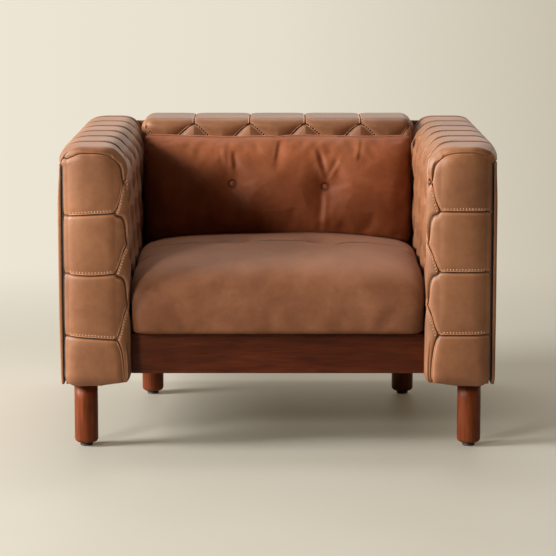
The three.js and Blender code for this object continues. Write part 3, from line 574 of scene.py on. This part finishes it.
def arm_lines():
    """Lines of the arm's box that pass through every fold: 24 steps to each half cell, both along and up, and finer
    ones just above the top fold."""
    reach = skirt_reach(lattice_lines(0, 10))
    xs = np.concatenate([arm_inner - reach[reach < -0.01], [arm_inner], np.arange(367, 450, 5),
                         np.arange(450.2, 482.3, 2)])
    ys = np.concatenate([[0], reach[reach > 0.01], np.linspace(713, arm_rear, 36)])
    zs = np.concatenate([np.linspace(arm_foot, 177, 8), np.linspace(177, 269.5, 22),
                         [683, 684, 685.5, 687, 689, 691, 693, arm_top], tuft_top - tuft_rise * lattice_lines(0, 6)])
    return (np.unique(np.round(lines, 4)) for lines in (xs, ys, zs))


def arm_keep(axis, end, middles):
    """An arm's cover has its front, top and inner face, and turns a little way under, behind the side panel and down
    behind the back panel."""
    x, y, z = middles.T
    if axis == 0 and end == -1:
        return (y < 30) | (z > 656)
    if axis == 2 and end == 0:
        return (x < 389) | (y < 44)
    return z > 670 if axis == 1 and end == -1 else np.full(len(x), True)


def fold_rises(u, w):
    """True where the fold through this half cell climbs away from the first column."""
    return (np.floor(2 * u) + np.floor(2 * w)) % 2 != 0


def triangles(faces, rises):
    """Splits each square along one diagonal or the other."""
    a, b, c, d = faces.T
    one = np.concatenate([np.stack([a, b, c], -1)[rises], np.stack([a, c, d], -1)[rises]])
    other = np.concatenate([np.stack([a, b, d], -1)[~rises], np.stack([b, c, d], -1)[~rises]])
    return np.concatenate([one, other]).tolist()


def unit(vectors):
    """The vectors, each with a length of 1."""
    return vectors / np.linalg.norm(vectors, axis=1, keepdims=True)


def tube(path, normals, radius, sides=6):
    """A round cord along a path: circles in the plane of its normal and binormal, thinner towards its closed ends."""
    tangent = unit(np.gradient(path, axis=0))
    binormal = unit(np.cross(tangent, normals))
    upward = np.cross(binormal, tangent)
    angles = np.linspace(0, 2 * np.pi, sides, endpoint=False)
    steps = np.arange(len(path))
    thick = radius * np.minimum(1, 0.35 + 0.3 * np.minimum(steps, steps[::-1]))[:, None, None]
    ring = thick * (np.cos(angles)[None, :, None] * upward[:, None] + np.sin(angles)[None, :, None] * binormal[:, None])
    points = (path[:, None] + ring).reshape(-1, 3)
    last = len(points) - sides
    return points, grid_faces(len(path), sides, closed=True).tolist() + [
        list(range(sides))[::-1], list(range(last, len(points)))]


def lip(path, normals, radius):
    """A rolled lip of leather that lies beside a fold."""
    return tube(path + 0.3 * normals, normals, radius)


def stitches(path, normals, offset=0.0, spacing=7.0, length=5.2, width=1.9):
    """Thread across a seam, evenly spaced along a path: each stitch is a slim double pyramid lying on the leather,
    offset to one side of the path."""
    gone = np.concatenate([[0], np.cumsum(np.linalg.norm(np.diff(path, axis=0), axis=1))])
    marks = np.arange(spacing / 2, gone[-1] - spacing / 2, spacing)
    centre, ahead, upward = (np.stack([np.interp(places, gone, values[:, i]) for i in range(3)], -1)
                             for places, values in ((marks, path), (marks + 1, path), (marks, normals)))
    ahead -= centre
    across = unit(np.cross(ahead, upward))
    ahead = unit(ahead)
    centre += across * offset + upward * 0.5
    corners = [across * length / 2, -across * length / 2, ahead * width / 2, -ahead * width / 2,
               upward * width / 2, -upward * width / 2]
    points = np.stack([centre + corner for corner in corners], 1).reshape(-1, 3)
    shape = np.array([[0, 2, 4], [0, 4, 3], [0, 3, 5], [0, 5, 2], [1, 4, 2], [1, 3, 4], [1, 5, 3], [1, 2, 5]])
    return points, (shape[None] + 6 * np.arange(len(marks))[:, None, None]).reshape(-1, 3).tolist()


def joined(parts):
    """Several (points, faces) as one."""
    points, faces, total = [], [], 0
    for some, turned in parts:
        points.append(some)
        faces += [[v + total for v in face] for face in turned]
        total += len(some)
    return np.concatenate(points), faces


def mirrored(points, faces, sign):
    """The same shape on the other side of the chair, with its faces turned to point outwards again."""
    if sign > 0:
        return points, faces
    return points * (-1, 1, 1), [list(face)[::-1] for face in faces]


def add_sewing(name_of_lips, name_of_stitches, lips, sewn, sign=1):
    """Adds the rolled lips of a cover as one piece, and its stitches as another."""
    # The lips are paled all over by painted highlight, with some wear
    add_piece(name_of_lips, *mirrored(*joined(lips), sign), tan, "frame", "upholstery_leather", painted_highlight_and_wear=0.8)
    add_piece(name_of_stitches, *mirrored(*joined(sewn), sign), thread.material, "frame", "upholstery_leather")


def lattice_paths(columns, rows, reach, beside=3.0):
    """Paths beside each half of each diagonal fold, beside mm to both its sides, as (cells along, cells down). The
    arms, with three rows, have no diagonal in every other half cell of the first column."""
    t = np.linspace(0.06, 0.94, 22)
    paths = []
    for row in range(2 * rows):
        for column in columns[1:] if rows == tuft_rows and row % 2 == 0 else columns:
            rises = fold_rises(np.array(column / 2 + 0.25), np.array(row / 2 + 0.25))
            u, w = column / 2 + 0.5 * t, row / 2 + (0.5 * (1 - t) if rises else 0.5 * t)
            pitch = (reach(column / 2 + 0.5) - reach(column / 2)) * 2
            away = beside * np.hypot(1 / pitch, 1 / tuft_rise) / 2
            for side in (1, -1):
                paths.append((u + side * away, w + side * (1 if rises else -1) * away))
    return paths


def skirt_path(u, w):
    """The places on the skin of the arm's box at u cells along its front and inner face and w cells down."""
    q = skirt_reach(u)
    return np.stack([np.where(q < 0, arm_inner - q, arm_inner), np.maximum(q, 0.0), tuft_top - tuft_rise * w], -1)


def pleat_path(y):
    """A line beside a pleat over the inner roll of an arm's top, on the skin of its box."""
    over, down = np.linspace(404, 335, 26), np.linspace(694, 685, 4)
    return np.stack([np.append(over, np.full(4, arm_inner)), np.full(30, y), np.append(np.full(26, arm_top), down)], -1)


def seam_path(z):
    """The line of a seam across the front of an arm, on the skin of its box."""
    return np.stack([np.linspace(479, 366, 34), np.zeros(34), np.full(34, z)], -1)


arm_points, arm_faces = box_skin(*arm_lines(), arm_keep)
middles = arm_points[arm_faces].mean(axis=1)
middle_cells = skirt_cells(np.where(middles[:, 1] > 0, middles[:, 1], arm_inner - middles[:, 0]))
arm_triangles = triangles(arm_faces, fold_rises(middle_cells, (tuft_top - middles[:, 2]) / tuft_rise))
corner_seam = np.stack([np.full(30, arm_inner - split + 3.2), np.zeros(30), np.linspace(266, 160, 30)], -1)
lip_paths = [(skirt_path(u, w), 1.0) for u, w in lattice_paths(range(10), tuft_rows, skirt_reach)]
lip_paths += [(seam_path(tuft_top - tuft_rise * w + 2.6), 1.2) for w in range(1, 4)] + [(corner_seam, 1.2)]
thread_paths = [skirt_path(u, w) for u, w in lattice_paths(range(10), tuft_rows, skirt_reach, beside=6.5)][::2]
thread_paths += [pleat_path(tuft_margin + tuft_pitch * i + 7) for i in range(1, 6)]
thread_paths += [seam_path(tuft_top - tuft_rise * w + 6.4) for w in range(1, 4)]
# Left and right are the sitter's: the left arm is at the right of the photo. Phase and slack make the arms differ.
for side, sign, phase, slack in (("left", 1, 0.4, 0.1), ("right", -1, 2.1, 1.0)):
    place, normal, painted_shade, painted_highlight_and_wear = arm_surface(arm_points, phase, slack)
    points, faces = mirrored(place, arm_triangles, sign)
    cover = add_piece("tufted_arm_cover_" + side, points, faces, tan, "frame", "upholstery_leather",
                      ["arm_cover_" + side], painted_shade, painted_highlight_and_wear)
    lips = [lip(*arm_surface(path, phase, slack)[:2], radius) for path, radius in lip_paths]
    sewn = [stitches(*arm_surface(path, phase, slack)[:2]) for path in thread_paths]
    add_sewing("arm_fold_lips_" + side, "arm_stitches_" + side, lips, sewn, sign)

# Outside panels. Thin boards wrapped in the same leather, pinned on last over the outer face of each arm and across
# the back; their soft edges leave a groove beside the covers, darkened with painted shade, and the leather of the
# arms bulges over their tops.

panel_inner, panel_outer, panel_foot, chair_depth = 484.3, 495.0, 152.0, 885.0
for side, sign, top, high, low in (("left", 1, 662, 2.5, 0.5), ("right", -1, 656, 4.5, 2.5)):
    points, faces = soft_block([panel_inner, 17, panel_foot], [panel_outer, chair_depth, top], [3.5, 9, 4], step=12)
    x, y, z = points.T
    tucked = high * eased((z - 560) / 95) + low * eased((330 - z) / 170) + 2 * ramp((176 - z) / 24) ** 2
    # Painted shade along the panel's inner front edge, in the groove beside the cover
    painted_groove_shade = ramp((487.6 - x) / 2.5) * (y < 60)
    points[:, 0] -= tucked * ramp((x - panel_inner) / (panel_outer - panel_inner))
    points, faces = mirrored(points, faces.tolist(), sign)
    add_piece("leather_arm_panel_" + side, points, faces, tan, "frame", "upholstery_leather",
              ["outside_arm_panel_" + side], painted_groove_shade)
points, faces = soft_block([-arm_outer, 872.5, panel_foot], [arm_outer, chair_depth, 684], [12, 5, 12], step=12)
add_piece("leather_back_panel", points, faces, tan, "frame", "upholstery_leather", ["outside_back_panel"])

# Back. A foam slab on two posts and a rail, under a tufted cover of the same leather: diamonds on its face and
# pleats over its top, each with rolled lips. Its lower part is plain, because the cushions hide it.

for node in ("back_foam", "back_top_foam"):
    add_filling("cut_" + node, node, 5, foam, "frame", "foam")

back_pitch, back_tuft_top = 140.4, 696.0
back_half, back_front, back_foot, back_top = 344.8, 692.0, 172.0, 704.0


def back_reach(u):
    """The place across the back that has u cells."""
    return back_pitch / 2 + back_pitch * u


def back_cells(x, z):
    """Cells across the back and down from its top row of tufts."""
    return (x - back_pitch / 2) / back_pitch, (back_tuft_top - z) / tuft_rise


def back_surface(points):
    """Sends points on the skin of the back's box to its tufted cover: rounded, then sunk along the normal by the
    quilting on its face and by the pleats on its top. Also gives painted shade, a little over the face, more over the
    top and most in the folds, and painted highlight, with some wear, on the rolled lips."""
    x, y, z = points.T
    u, w = back_cells(x, z)
    window = ramp((back_top - z) / 60) * ramp((344 - np.abs(x)) / 60)
    wander = np.stack([1.5 * np.sin(z / 47 + x / 90), np.zeros(len(x)), 1.5 * np.sin(x / 71)], -1)
    place, normal = rounded(points + wander * window[:, None], [-back_half, back_front, back_foot],
                            [back_half, arm_rear, back_top], [30, 28, 0], [30, 0, 26])
    lattice = np.minimum(fold_share(u + w), fold_share(u - w))
    share = np.where(w < 0, fold_share(u), lattice)
    gap = share * np.where(w < 0, back_pitch, 1 / np.hypot(1 / back_pitch, 1 / tuft_rise))
    inside = np.abs(x) < back_half
    ahead = np.minimum(normal[:, 1], 0) ** 2 * (w <= 2) * inside
    up = np.maximum(normal[:, 2], 0) ** 2 * inside
    pleat = fold_share(u) * back_pitch
    depth = 7 + 5 * eased(w / 0.6)
    sunk = ahead * (depth * (1 - plump(share, 3.2)) + 3.4 * bell(gap, 2.5)) + up * (
        2.2 * (1 - plump(pleat / back_pitch, 6)) + 2.6 * bell(pleat, 2.5))
    # Painted shade: some over the face, more over the top, most along each fold and pleat; below, painted highlight
    dark = ahead * (0.15 + bell(gap, 3.4)) + up * (0.3 + bell(pleat, 3.2))
    rolled = ahead * bell(gap - 5.5, 2.4) + up * bell(pleat - 5.5, 2.4)
    return place - sunk[:, None] * normal, normal, ramp(dark), ramp(0.3 * rolled)


def back_keep(axis, end, middles):
    """The back's cover is open below, and turns a little way down behind the back panel."""
    if axis == 1 and end == -1:
        return middles[:, 2] > 670
    return np.full(len(middles), not (axis == 2 and end == 0))


steps = back_pitch * lattice_lines(-5, 5)
back_lines = (np.append(steps[np.abs(steps) < 344], [-back_half, back_half]),
              np.append(np.linspace(back_front, 720, 10), np.linspace(726, arm_rear, 25)),
              np.concatenate([np.linspace(back_foot, 420, 18), [698, 700, 702, back_top],
                              back_tuft_top - tuft_rise * lattice_lines(0, 4)]))
back_points, back_faces = box_skin(*(np.unique(np.round(lines, 4)) for lines in back_lines), back_keep)
middles = back_points[back_faces].mean(axis=1)
back_triangles = triangles(back_faces, fold_rises(*back_cells(middles[:, 0], middles[:, 2])))
place, normal, painted_shade, painted_highlight_and_wear = back_surface(back_points)
cover = add_piece("tufted_back_cover", place, back_triangles, tan, "frame", "upholstery_leather", ["back_cover"],
                  painted_shade, painted_highlight_and_wear)

lips, sewn = [], []
for i, (u, w) in enumerate(lattice_paths(range(-6, 4), 2, back_reach)):
    inside = (np.abs(back_reach(u)) < 338) & (w > 0.02)
    if inside.sum() > 6:
        path = np.stack([back_reach(u), np.full(len(u), back_front), back_tuft_top - tuft_rise * w], -1)[inside]
        place, normal = back_surface(path)[:2]
        lips.append(lip(place, normal, 1.15))
        if i % 2 == 0:
            sewn.append(stitches(place, normal, 2.8))
for column in range(-2, 2):
    for beside in (3, -3):
        path = np.stack([np.full(44, back_reach(column) + beside),
                         np.append(np.full(4, back_front), np.linspace(694, 868, 40)),
                         np.append(np.linspace(697, 703, 4), np.full(40, back_top))], -1)
        lips.append(lip(*back_surface(path)[:2], 1.2))
add_sewing("back_fold_lips", "back_stitches", lips, sewn)

# Seat cushion. A loose leather case, zipped at the back, over a foam core wrapped in wadding. It is crowned, rolls over
# its front, and two covered buttons on twine draw its top down into soft dimples joined by a shallow crease.

seat_leather = leather("mottled_seat_leather", (0.146, 0.051, 0.0195), (0.178, 0.065, 0.027), (0.216, 0.085, 0.038),
                       0.58, 11.0, 0.03, 0.22)
seat_half, seat_front, seat_rear, seat_base, seat_crown = 333.5, 20.0, 691.5, 265.0, 438.0
seat_tufts = ((-100.05, 371.87), (112.06, 371.87))


def near_either(x, y, spots, width, ring=0.0):
    """1 at either of two spots, or on a ring round each of them, falling away as a bell curve."""
    return np.maximum(*(bell(np.hypot(x - a, y - b) - ring, width) for a, b in spots))


def roll(share):
    """How far a rolled edge has dropped, at a share of the way from the edge to the end of its roll."""
    return 1 - np.sqrt(np.maximum(0, 1 - (1 - ramp(share)) ** 3))


def past_crease(x, y):
    """How far behind the crease that joins the dimples a place lies."""
    return y - seat_tufts[0][1] - 7 * np.sin(x / 90)


def seat_height(x, y):
    """Height of the cushion's top: the crown less its front, rear and side drops taken together, less its dimples and
    the crease that joins them, with a few slow waves where the leather is slack."""
    across, past = x / seat_half, past_crease(x, y)
    front = 113 * roll((y - seat_front) / 230)
    rear = 10 * roll((seat_rear - y) / 60)
    side = (56 - 30 * (y - seat_front) / (seat_rear - seat_front)) * roll(1 - np.abs(across))
    crease = 5 * (1 - across ** 4) * np.where(past < 0, bell(past, 22), bell(past, 5))
    droop = 10 * ramp((y - 385) / 170) ** 2 * (1 + 0.4 * across ** 2)
    waves = 1.2 * np.sin(x / 61 + 0.4) * np.sin(y / 83 + 1.1)
    for a, b in seat_tufts:
        away = np.hypot(x - a, y - b)
        waves = waves + 1.6 * bell(away, 75) * np.cos(7 * np.arctan2(y - b, x - a) + a) * np.minimum(1, away / 25)
    return seat_crown - droop - np.sqrt(front ** 2 + rear ** 2 + side ** 2) - np.maximum(
        20 * near_either(x, y, seat_tufts, 34), crease) + waves * ramp((seat_half - np.abs(x)) / 60) * ramp(
        (y - seat_front) / 120)


def seat_surface(points):
    """Sends points on the skin of the seat's box to the cushion: its plan corners are rounded, its top follows the
    crown, and its side keeps the share of the height it had. It is drawn in by 3 mm at the base, and by half a mm
    everywhere, which the swelling gives back."""
    x, y, z = points.T
    place, _ = rounded(points, [-seat_half, seat_front, seat_base], [seat_half, seat_rear, seat_crown],
                       [22, 26, 0], [22, 26, 0])
    share = (z - seat_base) / (seat_crown - seat_base)
    drawn = 1 - 3 / seat_half * np.maximum(0, 1 - share / 0.1) ** 2 - 0.5 / seat_half
    middle = (seat_front + seat_rear) / 2
    height = seat_base + 0.4 + share * (seat_height(x, y) - seat_base - 0.5)
    return np.stack([place[:, 0] * drawn, middle + (place[:, 1] - middle) * drawn, height], -1)


def worked_out(case):
    """A mesh of an object as its modifiers leave it; then it has none."""
    mesh = bpy.data.meshes.new_from_object(case.evaluated_get(bpy.context.evaluated_depsgraph_get()))
    case.modifiers.clear()
    return mesh


def places_in(mesh):
    """The places of a mesh's points in metres."""
    places = np.empty(len(mesh.vertices) * 3)
    mesh.vertices.foreach_get("co", places)
    return places.reshape(-1, 3)


def swollen(name, points, faces, pinned, swell, voxel, pressure, softening, stiffness):
    """Swells a closed case by air pressure until its leather draws tight: the mesh is remeshed evenly, blown up with
    its pinned places held, no point moves further than swell, and small wrinkles are softened. Gives points in
    millimetres and faces."""
    case = add_object(name, new_mesh(name, metres(points), faces))
    remesh = case.modifiers.new("even", "REMESH")
    remesh.mode, remesh.voxel_size = "VOXEL", voxel
    bpy.context.view_layer.update()
    case.data = worked_out(case)
    start = moved = places_in(case.data)
    held = case.vertex_groups.new(name="held")
    weights = np.round(pinned(millimetres(start)), 1)
    for level in np.unique(weights[weights > 0]):
        held.add(np.flatnonzero(weights == level).tolist(), float(level), "REPLACE")
    air = case.modifiers.new("air", "CLOTH")
    settings = air.settings
    settings.quality, settings.mass, settings.air_damping = 4, 0.4, 4.0
    settings.tension_stiffness = settings.compression_stiffness = 25.0
    settings.shear_stiffness, settings.bending_stiffness = 12.0, stiffness
    settings.use_pressure, settings.uniform_pressure_force = True, pressure
    settings.vertex_group_mass, settings.shrink_min = "held", -0.02
    settings.effector_weights.gravity = 0
    air.point_cache.frame_start, air.point_cache.frame_end = 1, 20
    for step in range(1, 21):
        bpy.context.scene.frame_set(step)
    moved = places_in(worked_out(case))
    bpy.context.scene.frame_set(1)
    shift = moved - start
    length = np.maximum(np.linalg.norm(shift, axis=1, keepdims=True), 1e-9)
    case.data.vertices.foreach_set("co", (start + shift * np.minimum(1, swell / 1000 / length)).ravel())
    softer = case.modifiers.new("softer", "SMOOTH")
    softer.factor, softer.iterations = 0.5, softening
    finer = case.modifiers.new("finer", "SUBSURF")
    finer.levels = finer.render_levels = 1
    bpy.context.view_layer.update()
    fine = worked_out(case)
    bpy.data.objects.remove(case)
    return millimetres(places_in(fine)), [list(polygon.vertices) for polygon in fine.polygons]


def seat_pins(points):
    """Holds the dimples and the sole of the seat cushion."""
    x, y, z = points.T
    return ramp(np.maximum(1.2 * near_either(x, y, seat_tufts, 16) * (z > 380), (z < seat_base + 6) * 1.0))


points, faces = box_skin(np.linspace(-seat_half, seat_half, 75), np.linspace(seat_front, seat_rear, 75),
                         np.linspace(seat_base, seat_crown, 20))
points, faces = swollen("seat_case", seat_surface(points), faces, seat_pins, swell=2.4, voxel=0.0075, pressure=2.0,
                        softening=14, stiffness=15.0)
x, y, z = points.T
past = past_crease(x, y)
sharp = np.where(past < 0, bell(past, 12), bell(past, 4)) * (1 - (x / seat_half) ** 4) * (z > 400)
from_tuft = np.minimum(*(np.abs(x - tuft_x) for tuft_x, _ in seat_tufts))
points[:, 2] -= 3.5 * sharp * np.clip(1 - from_tuft / 260, 0.2, 1)
points[:, 0] = np.clip(x, -seat_half + 0.3, seat_half - 0.3)
points[:, 1] = np.clip(y, seat_front - 4, seat_rear - 0.3)
points[:, 2] = np.maximum(z, seat_base + 0.2)
# Painted shade in the dimples and along the crease behind them, and painted light, with some wear, on the top
dimple = near_either(x, y, seat_tufts, 11) * (z > 380)
seat = add_piece("crowned_seat_cushion", points, faces, seat_leather, "seat_cushion", "seat_leather",
                 ["seat_cushion_cover"], ramp(0.8 * dimple + 0.75 * sharp * (past > -5)), 0.28 * ramp((z - 375) / 40))
add_filling("cut_seat_foam", "seat_cushion_foam", 8, foam, "seat_cushion", "foam")


def button_profile(base):
    """Profile of a covered button: a shank, a flat underside and a full dome."""
    rim = [(7.35, 0.8), (6.9, 2.2), (5.9, 3.5), (4.3, 4.4), (2.2, 4.9), (0, 5)]
    return [(0, base - 12.5), (2, base - 12.5), (2, base - 2.5), (6.6, base - 2.5)] + arc(
        (6.2, base - 1.2), 1.3, -90, 0, 4) + [(radius, base + rise) for radius, rise in rim]


for side, (x, y) in zip(("right", "left"), seat_tufts):
    points, faces = lathe(button_profile(420.0), 32, (x, y))
    add_piece("covered_seat_button_" + side, points, faces, seat_leather, "seat_cushion", "seat_leather",
              ["seat_button_" + side], painted_highlight_and_wear=0.1)

# Back cushion. A loose leather case filled with fibre. It stands on the seat cushion, is full below, and tapers to a
# seam along its top and ends; two covered buttons hold its faces together, and the leather gathers round them.

pillow_leather = leather("rich_cushion_leather", (0.155, 0.040, 0.013), (0.205, 0.058, 0.020), (0.260, 0.085, 0.034),
                         0.54, 5.0, 0.02, 0.16)
pillow_half, pillow_top, pillow_middle = 333.5, 665.0, 622.0
pillow_buttons = ((-112.06, 551.9), (117.06, 544.9))
# Each fold has its two ends (x, z), its width, its height, and the side of its ridge
pillow_folds = (
    ((-113, 628), (-108, 588), 7, 4.0, 1), ((-108, 530), (-96, 505), 5, 3.0, -1), ((-104, 540), (-80, 520), 6, 2.0, 1),
    ((98, 632), (116, 570), 8, 4.5, 1), ((153, 612), (128, 568), 7, 2.4, -1), ((114, 530), (111, 440), 9, 4.5, -1),
    ((3, 655), (-5, 612), 6, 3.0, 1), ((206, 655), (198, 612), 7, 3.5, 1), ((-140, 640), (-133, 606), 8, 2.0, -1),
    ((135, 540), (175, 548), 9, 1.6, 1), ((-86, 552), (-50, 560), 10, 1.6, 1))


def pillow_thickness(across, up):
    """Half the thickness of the cushion: full over its lower part, drawn to a seam at its top and its ends."""
    ends = np.sqrt(np.maximum(0, 1 - np.abs(across) ** 16))
    top = np.maximum(0, 1 - ramp((up - 0.4) / 0.6) ** 2.3) ** 0.62
    return 2 + 67 * ends * top * (0.86 + 0.14 * ramp(up / 0.12))


def folds(x, z):
    """Height of the creases about the buttons: each is a ridge beside a valley along a line, fading at both ends."""
    total = np.zeros(len(x))
    for (ax, az), (bx, bz), width, height, side in pillow_folds:
        length = math.hypot(bx - ax, bz - az)
        along = ((x - ax) * (bx - ax) + (z - az) * (bz - az)) / length ** 2
        off = ((x - ax) * (bz - az) - (z - az) * (bx - ax)) / length
        total += height * np.exp(-((along - 0.5) / 0.55) ** 4) * side * (off / width) * bell(off, width)
    return total


def pillow_surface(points):
    """Sends points on a thin box to the cushion: y from -1 to 1 spreads to its thickness, its sole follows the crown of
    the seat, its top seam waves a little, and the front sinks round the buttons."""
    x, side, up = points.T
    y = pillow_middle + side * pillow_thickness(x / pillow_half, up)
    sole = seat_height(x, np.clip(y, 560, 685)) + 0.6
    top = pillow_top + 1.6 * np.sin(x / 58 + 0.5) - 2.6 * bell(x - 3, 14) + 3 * np.abs(x / pillow_half) ** 6
    z = sole + up * (top - sole)
    return np.stack([x, y + 15 * near_either(x, z, pillow_buttons, 28) * (side < 0), z], -1)


def pillow_pins(points):
    """Holds the top seam, the buttons and the sole of the back cushion."""
    x, y, z = points.T
    buttons = near_either(x, z, pillow_buttons, 13) * (y < pillow_middle)
    sole = z < seat_height(x, np.clip(y, 560, 685)) + 5
    return ramp(np.maximum(np.maximum(1.2 * buttons, bell(z - pillow_top, 7)), sole * 1.0))


points, faces = box_skin(pillow_half * np.sin(np.linspace(-np.pi / 2, np.pi / 2, 91)), np.linspace(-1, 1, 25),
                         np.concatenate([np.linspace(0, 0.9, 36), np.linspace(0.92, 1, 7)]))
points, faces = swollen("pillow_case", pillow_surface(points), faces, pillow_pins, swell=16, voxel=0.005, pressure=3.0,
                        softening=10, stiffness=2.5)
x, y, z = points.T
points[:, 0] = np.clip(x, -pillow_half + 0.3, pillow_half - 0.3)
points[:, 1] = np.clip(y, pillow_middle - 76, 691.4)
points[:, 2] = np.maximum(z, seat_height(x, np.clip(y, 540, 691)) + 0.5)
front = y < pillow_middle - 4
points[:, 1] -= folds(x, z) * front
# Painted shade in a ring round each button on the front, where the leather gathers
cushion = add_piece("creased_back_cushion", points, faces, pillow_leather, "back_cushion", "back_cushion_leather",
                    ["back_cushion_cover"], 0.7 * near_either(x, z, pillow_buttons, 3.5, ring=8.5) * front)
fibre = foam_material("fibre_fill", (0.74, 0.72, 0.66), (0.86, 0.85, 0.8), 260.0)
add_filling("fibre_cushion_fill", "back_cushion_fill", 12, fibre, "back_cushion", "fibre_fill")
for side, (x, z) in zip(("right", "left"), pillow_buttons):
    points, faces = lathe(button_profile(0.0), 32, (0, 0))
    points = np.stack([x + points[:, 0], pillow_middle - 51 - points[:, 2], z + points[:, 1]], -1)
    add_piece("covered_back_button_" + side, points, faces, pillow_leather, "back_cushion", "back_cushion_leather",
              ["back_button_" + side], painted_highlight_and_wear=0.15)
seam_x, flat = np.linspace(-326, 326, 140), np.zeros(140)
seam_z = pillow_surface(np.stack([seam_x, flat, flat + 1], -1))[:, 2] + 0.6
points, faces = tube(np.stack([seam_x, flat + pillow_middle, seam_z], -1), np.stack([flat, flat, flat + 1], -1), 1.4)
# The seam is paled by painted highlight, with some wear
add_piece("cushion_top_seam", points, faces, pillow_leather, "back_cushion", "back_cushion_leather", painted_highlight_and_wear=0.6)

# Studio. A wide pale floor whose far parts glow as a painted backdrop, lighter to the left, and whose near part
# glows a little in warm painted light that lifts its shadows; a soft key light from the front left, a broad light
# from the left, one from above the back, and the camera at the photograph's angle.

ground = Look("studio_floor", 0.55, specular=0.25)
ground.speckle(ground.noise(1.5, 2), (0.36, 0.35, 0.31), (0.38, 0.37, 0.33))
axes = ground.add("SeparateXYZ", {"Vector": ground.place}).node.outputs
# Painted light: far off, the floor glows for the camera and in reflections as a backdrop, lighter to the left
sideways = ground.maths("DIVIDE", axes[0], ground.maths("ADD", axes[1], 6.0))
backdrop = ground.tones(ground.remap(sideways, 0.0, 1.0, -0.12, 0.12), (0.0, (0.85, 0.79, 0.66)),
                        (0.5, (0.79, 0.735, 0.61)), (1.0, (0.585, 0.535, 0.42)))
glow = ground.add("Emission", {"Color": backdrop, "Strength": 1.0})
far = ground.remap(axes[1], 0.0, 1.0, 0.6, 2.6, interpolation_type="SMOOTHSTEP")
rays = ground.add("LightPath", {}).node.outputs
seen = ground.maths("MAXIMUM", rays["Is Camera Ray"], rays["Is Glossy Ray"])
# Painted light: the floor glows a little in a warm tone for the camera, which lifts its shadows
ground.plug(ground.add("CombineColor", {"Red": 0.062, "Green": 0.045, "Blue": 0.024}), "Emission Color")
ground.plug(rays["Is Camera Ray"], "Emission Strength")
mixed = ground.add("MixShader", {0: ground.maths("MULTIPLY", far, seen), 1: ground.shader.outputs[0], 2: glow})
ground.tree.links.new(mixed, ground.tree.nodes["Material Output"].inputs["Surface"])
xs, ys = np.meshgrid(np.linspace(-60, 60, 41), np.linspace(-60, 60, 41), indexing="ij")
floor_mesh = new_mesh("floor", np.stack([xs.ravel(), ys.ravel(), np.zeros(xs.size)], -1), grid_faces(41, 41)[:, ::-1])
floor_mesh.materials.append(ground.material)
add_object("floor", floor_mesh)


def soft_light(name, azimuth, elevation, distance, size, power, colour):
    """A square area light that faces the middle of the chair, placed by its bearing left of the front and its height,
    both in degrees."""
    lamp = bpy.data.lights.new(name, "AREA")
    lamp.size, lamp.energy, lamp.color = size, power, colour
    light = add_object(name, lamp)
    turn, tilt = math.radians(azimuth), math.radians(elevation)
    light.location = (-distance * math.cos(tilt) * math.sin(turn), -distance * math.cos(tilt) * math.cos(turn),
                      0.4 + distance * math.sin(tilt))
    light.rotation_euler = (math.pi / 2 - tilt, 0, -turn)


soft_light("key", 35, 19, 4.4, 0.6, 88, (1.0, 0.955, 0.90))
soft_light("overhead", 180, 68, 3.2, 1.0, 26, (1.0, 0.97, 0.93))
soft_light("left_window", 75, 22, 6.0, 2.0, 725, (1.0, 0.965, 0.92))
world = bpy.data.worlds.new("studio")
world.use_nodes = True
tree = world.node_tree
background = tree.nodes["Background"]
background.inputs["Color"].default_value = (0.86, 0.80, 0.70, 1)
direction, axes, strength = (tree.nodes.new("ShaderNode" + kind) for kind in ("TexCoord", "SeparateXYZ", "MapRange"))
strength.interpolation_type = "SMOOTHSTEP"
for name, value in (("From Min", -0.35), ("From Max", 0.75), ("To Min", 0.10), ("To Max", 1.08)):
    strength.inputs[name].default_value = value
tree.links.new(direction.outputs["Generated"], axes.inputs[0])
tree.links.new(axes.outputs["Y"], strength.inputs["Value"])
tree.links.new(strength.outputs[0], background.inputs["Strength"])
bpy.context.scene.world = world

lens = bpy.data.cameras.new("camera")
lens.sensor_width, lens.lens, lens.clip_end = 36, 151.8, 100
camera = add_object("camera", lens)
camera.location = (0.001, -5.658, 1.1795)
camera.rotation_euler = (math.radians(81.5), 0, 0)
bpy.context.scene.camera = camera
bpy.context.scene.view_settings.view_transform = "Standard"
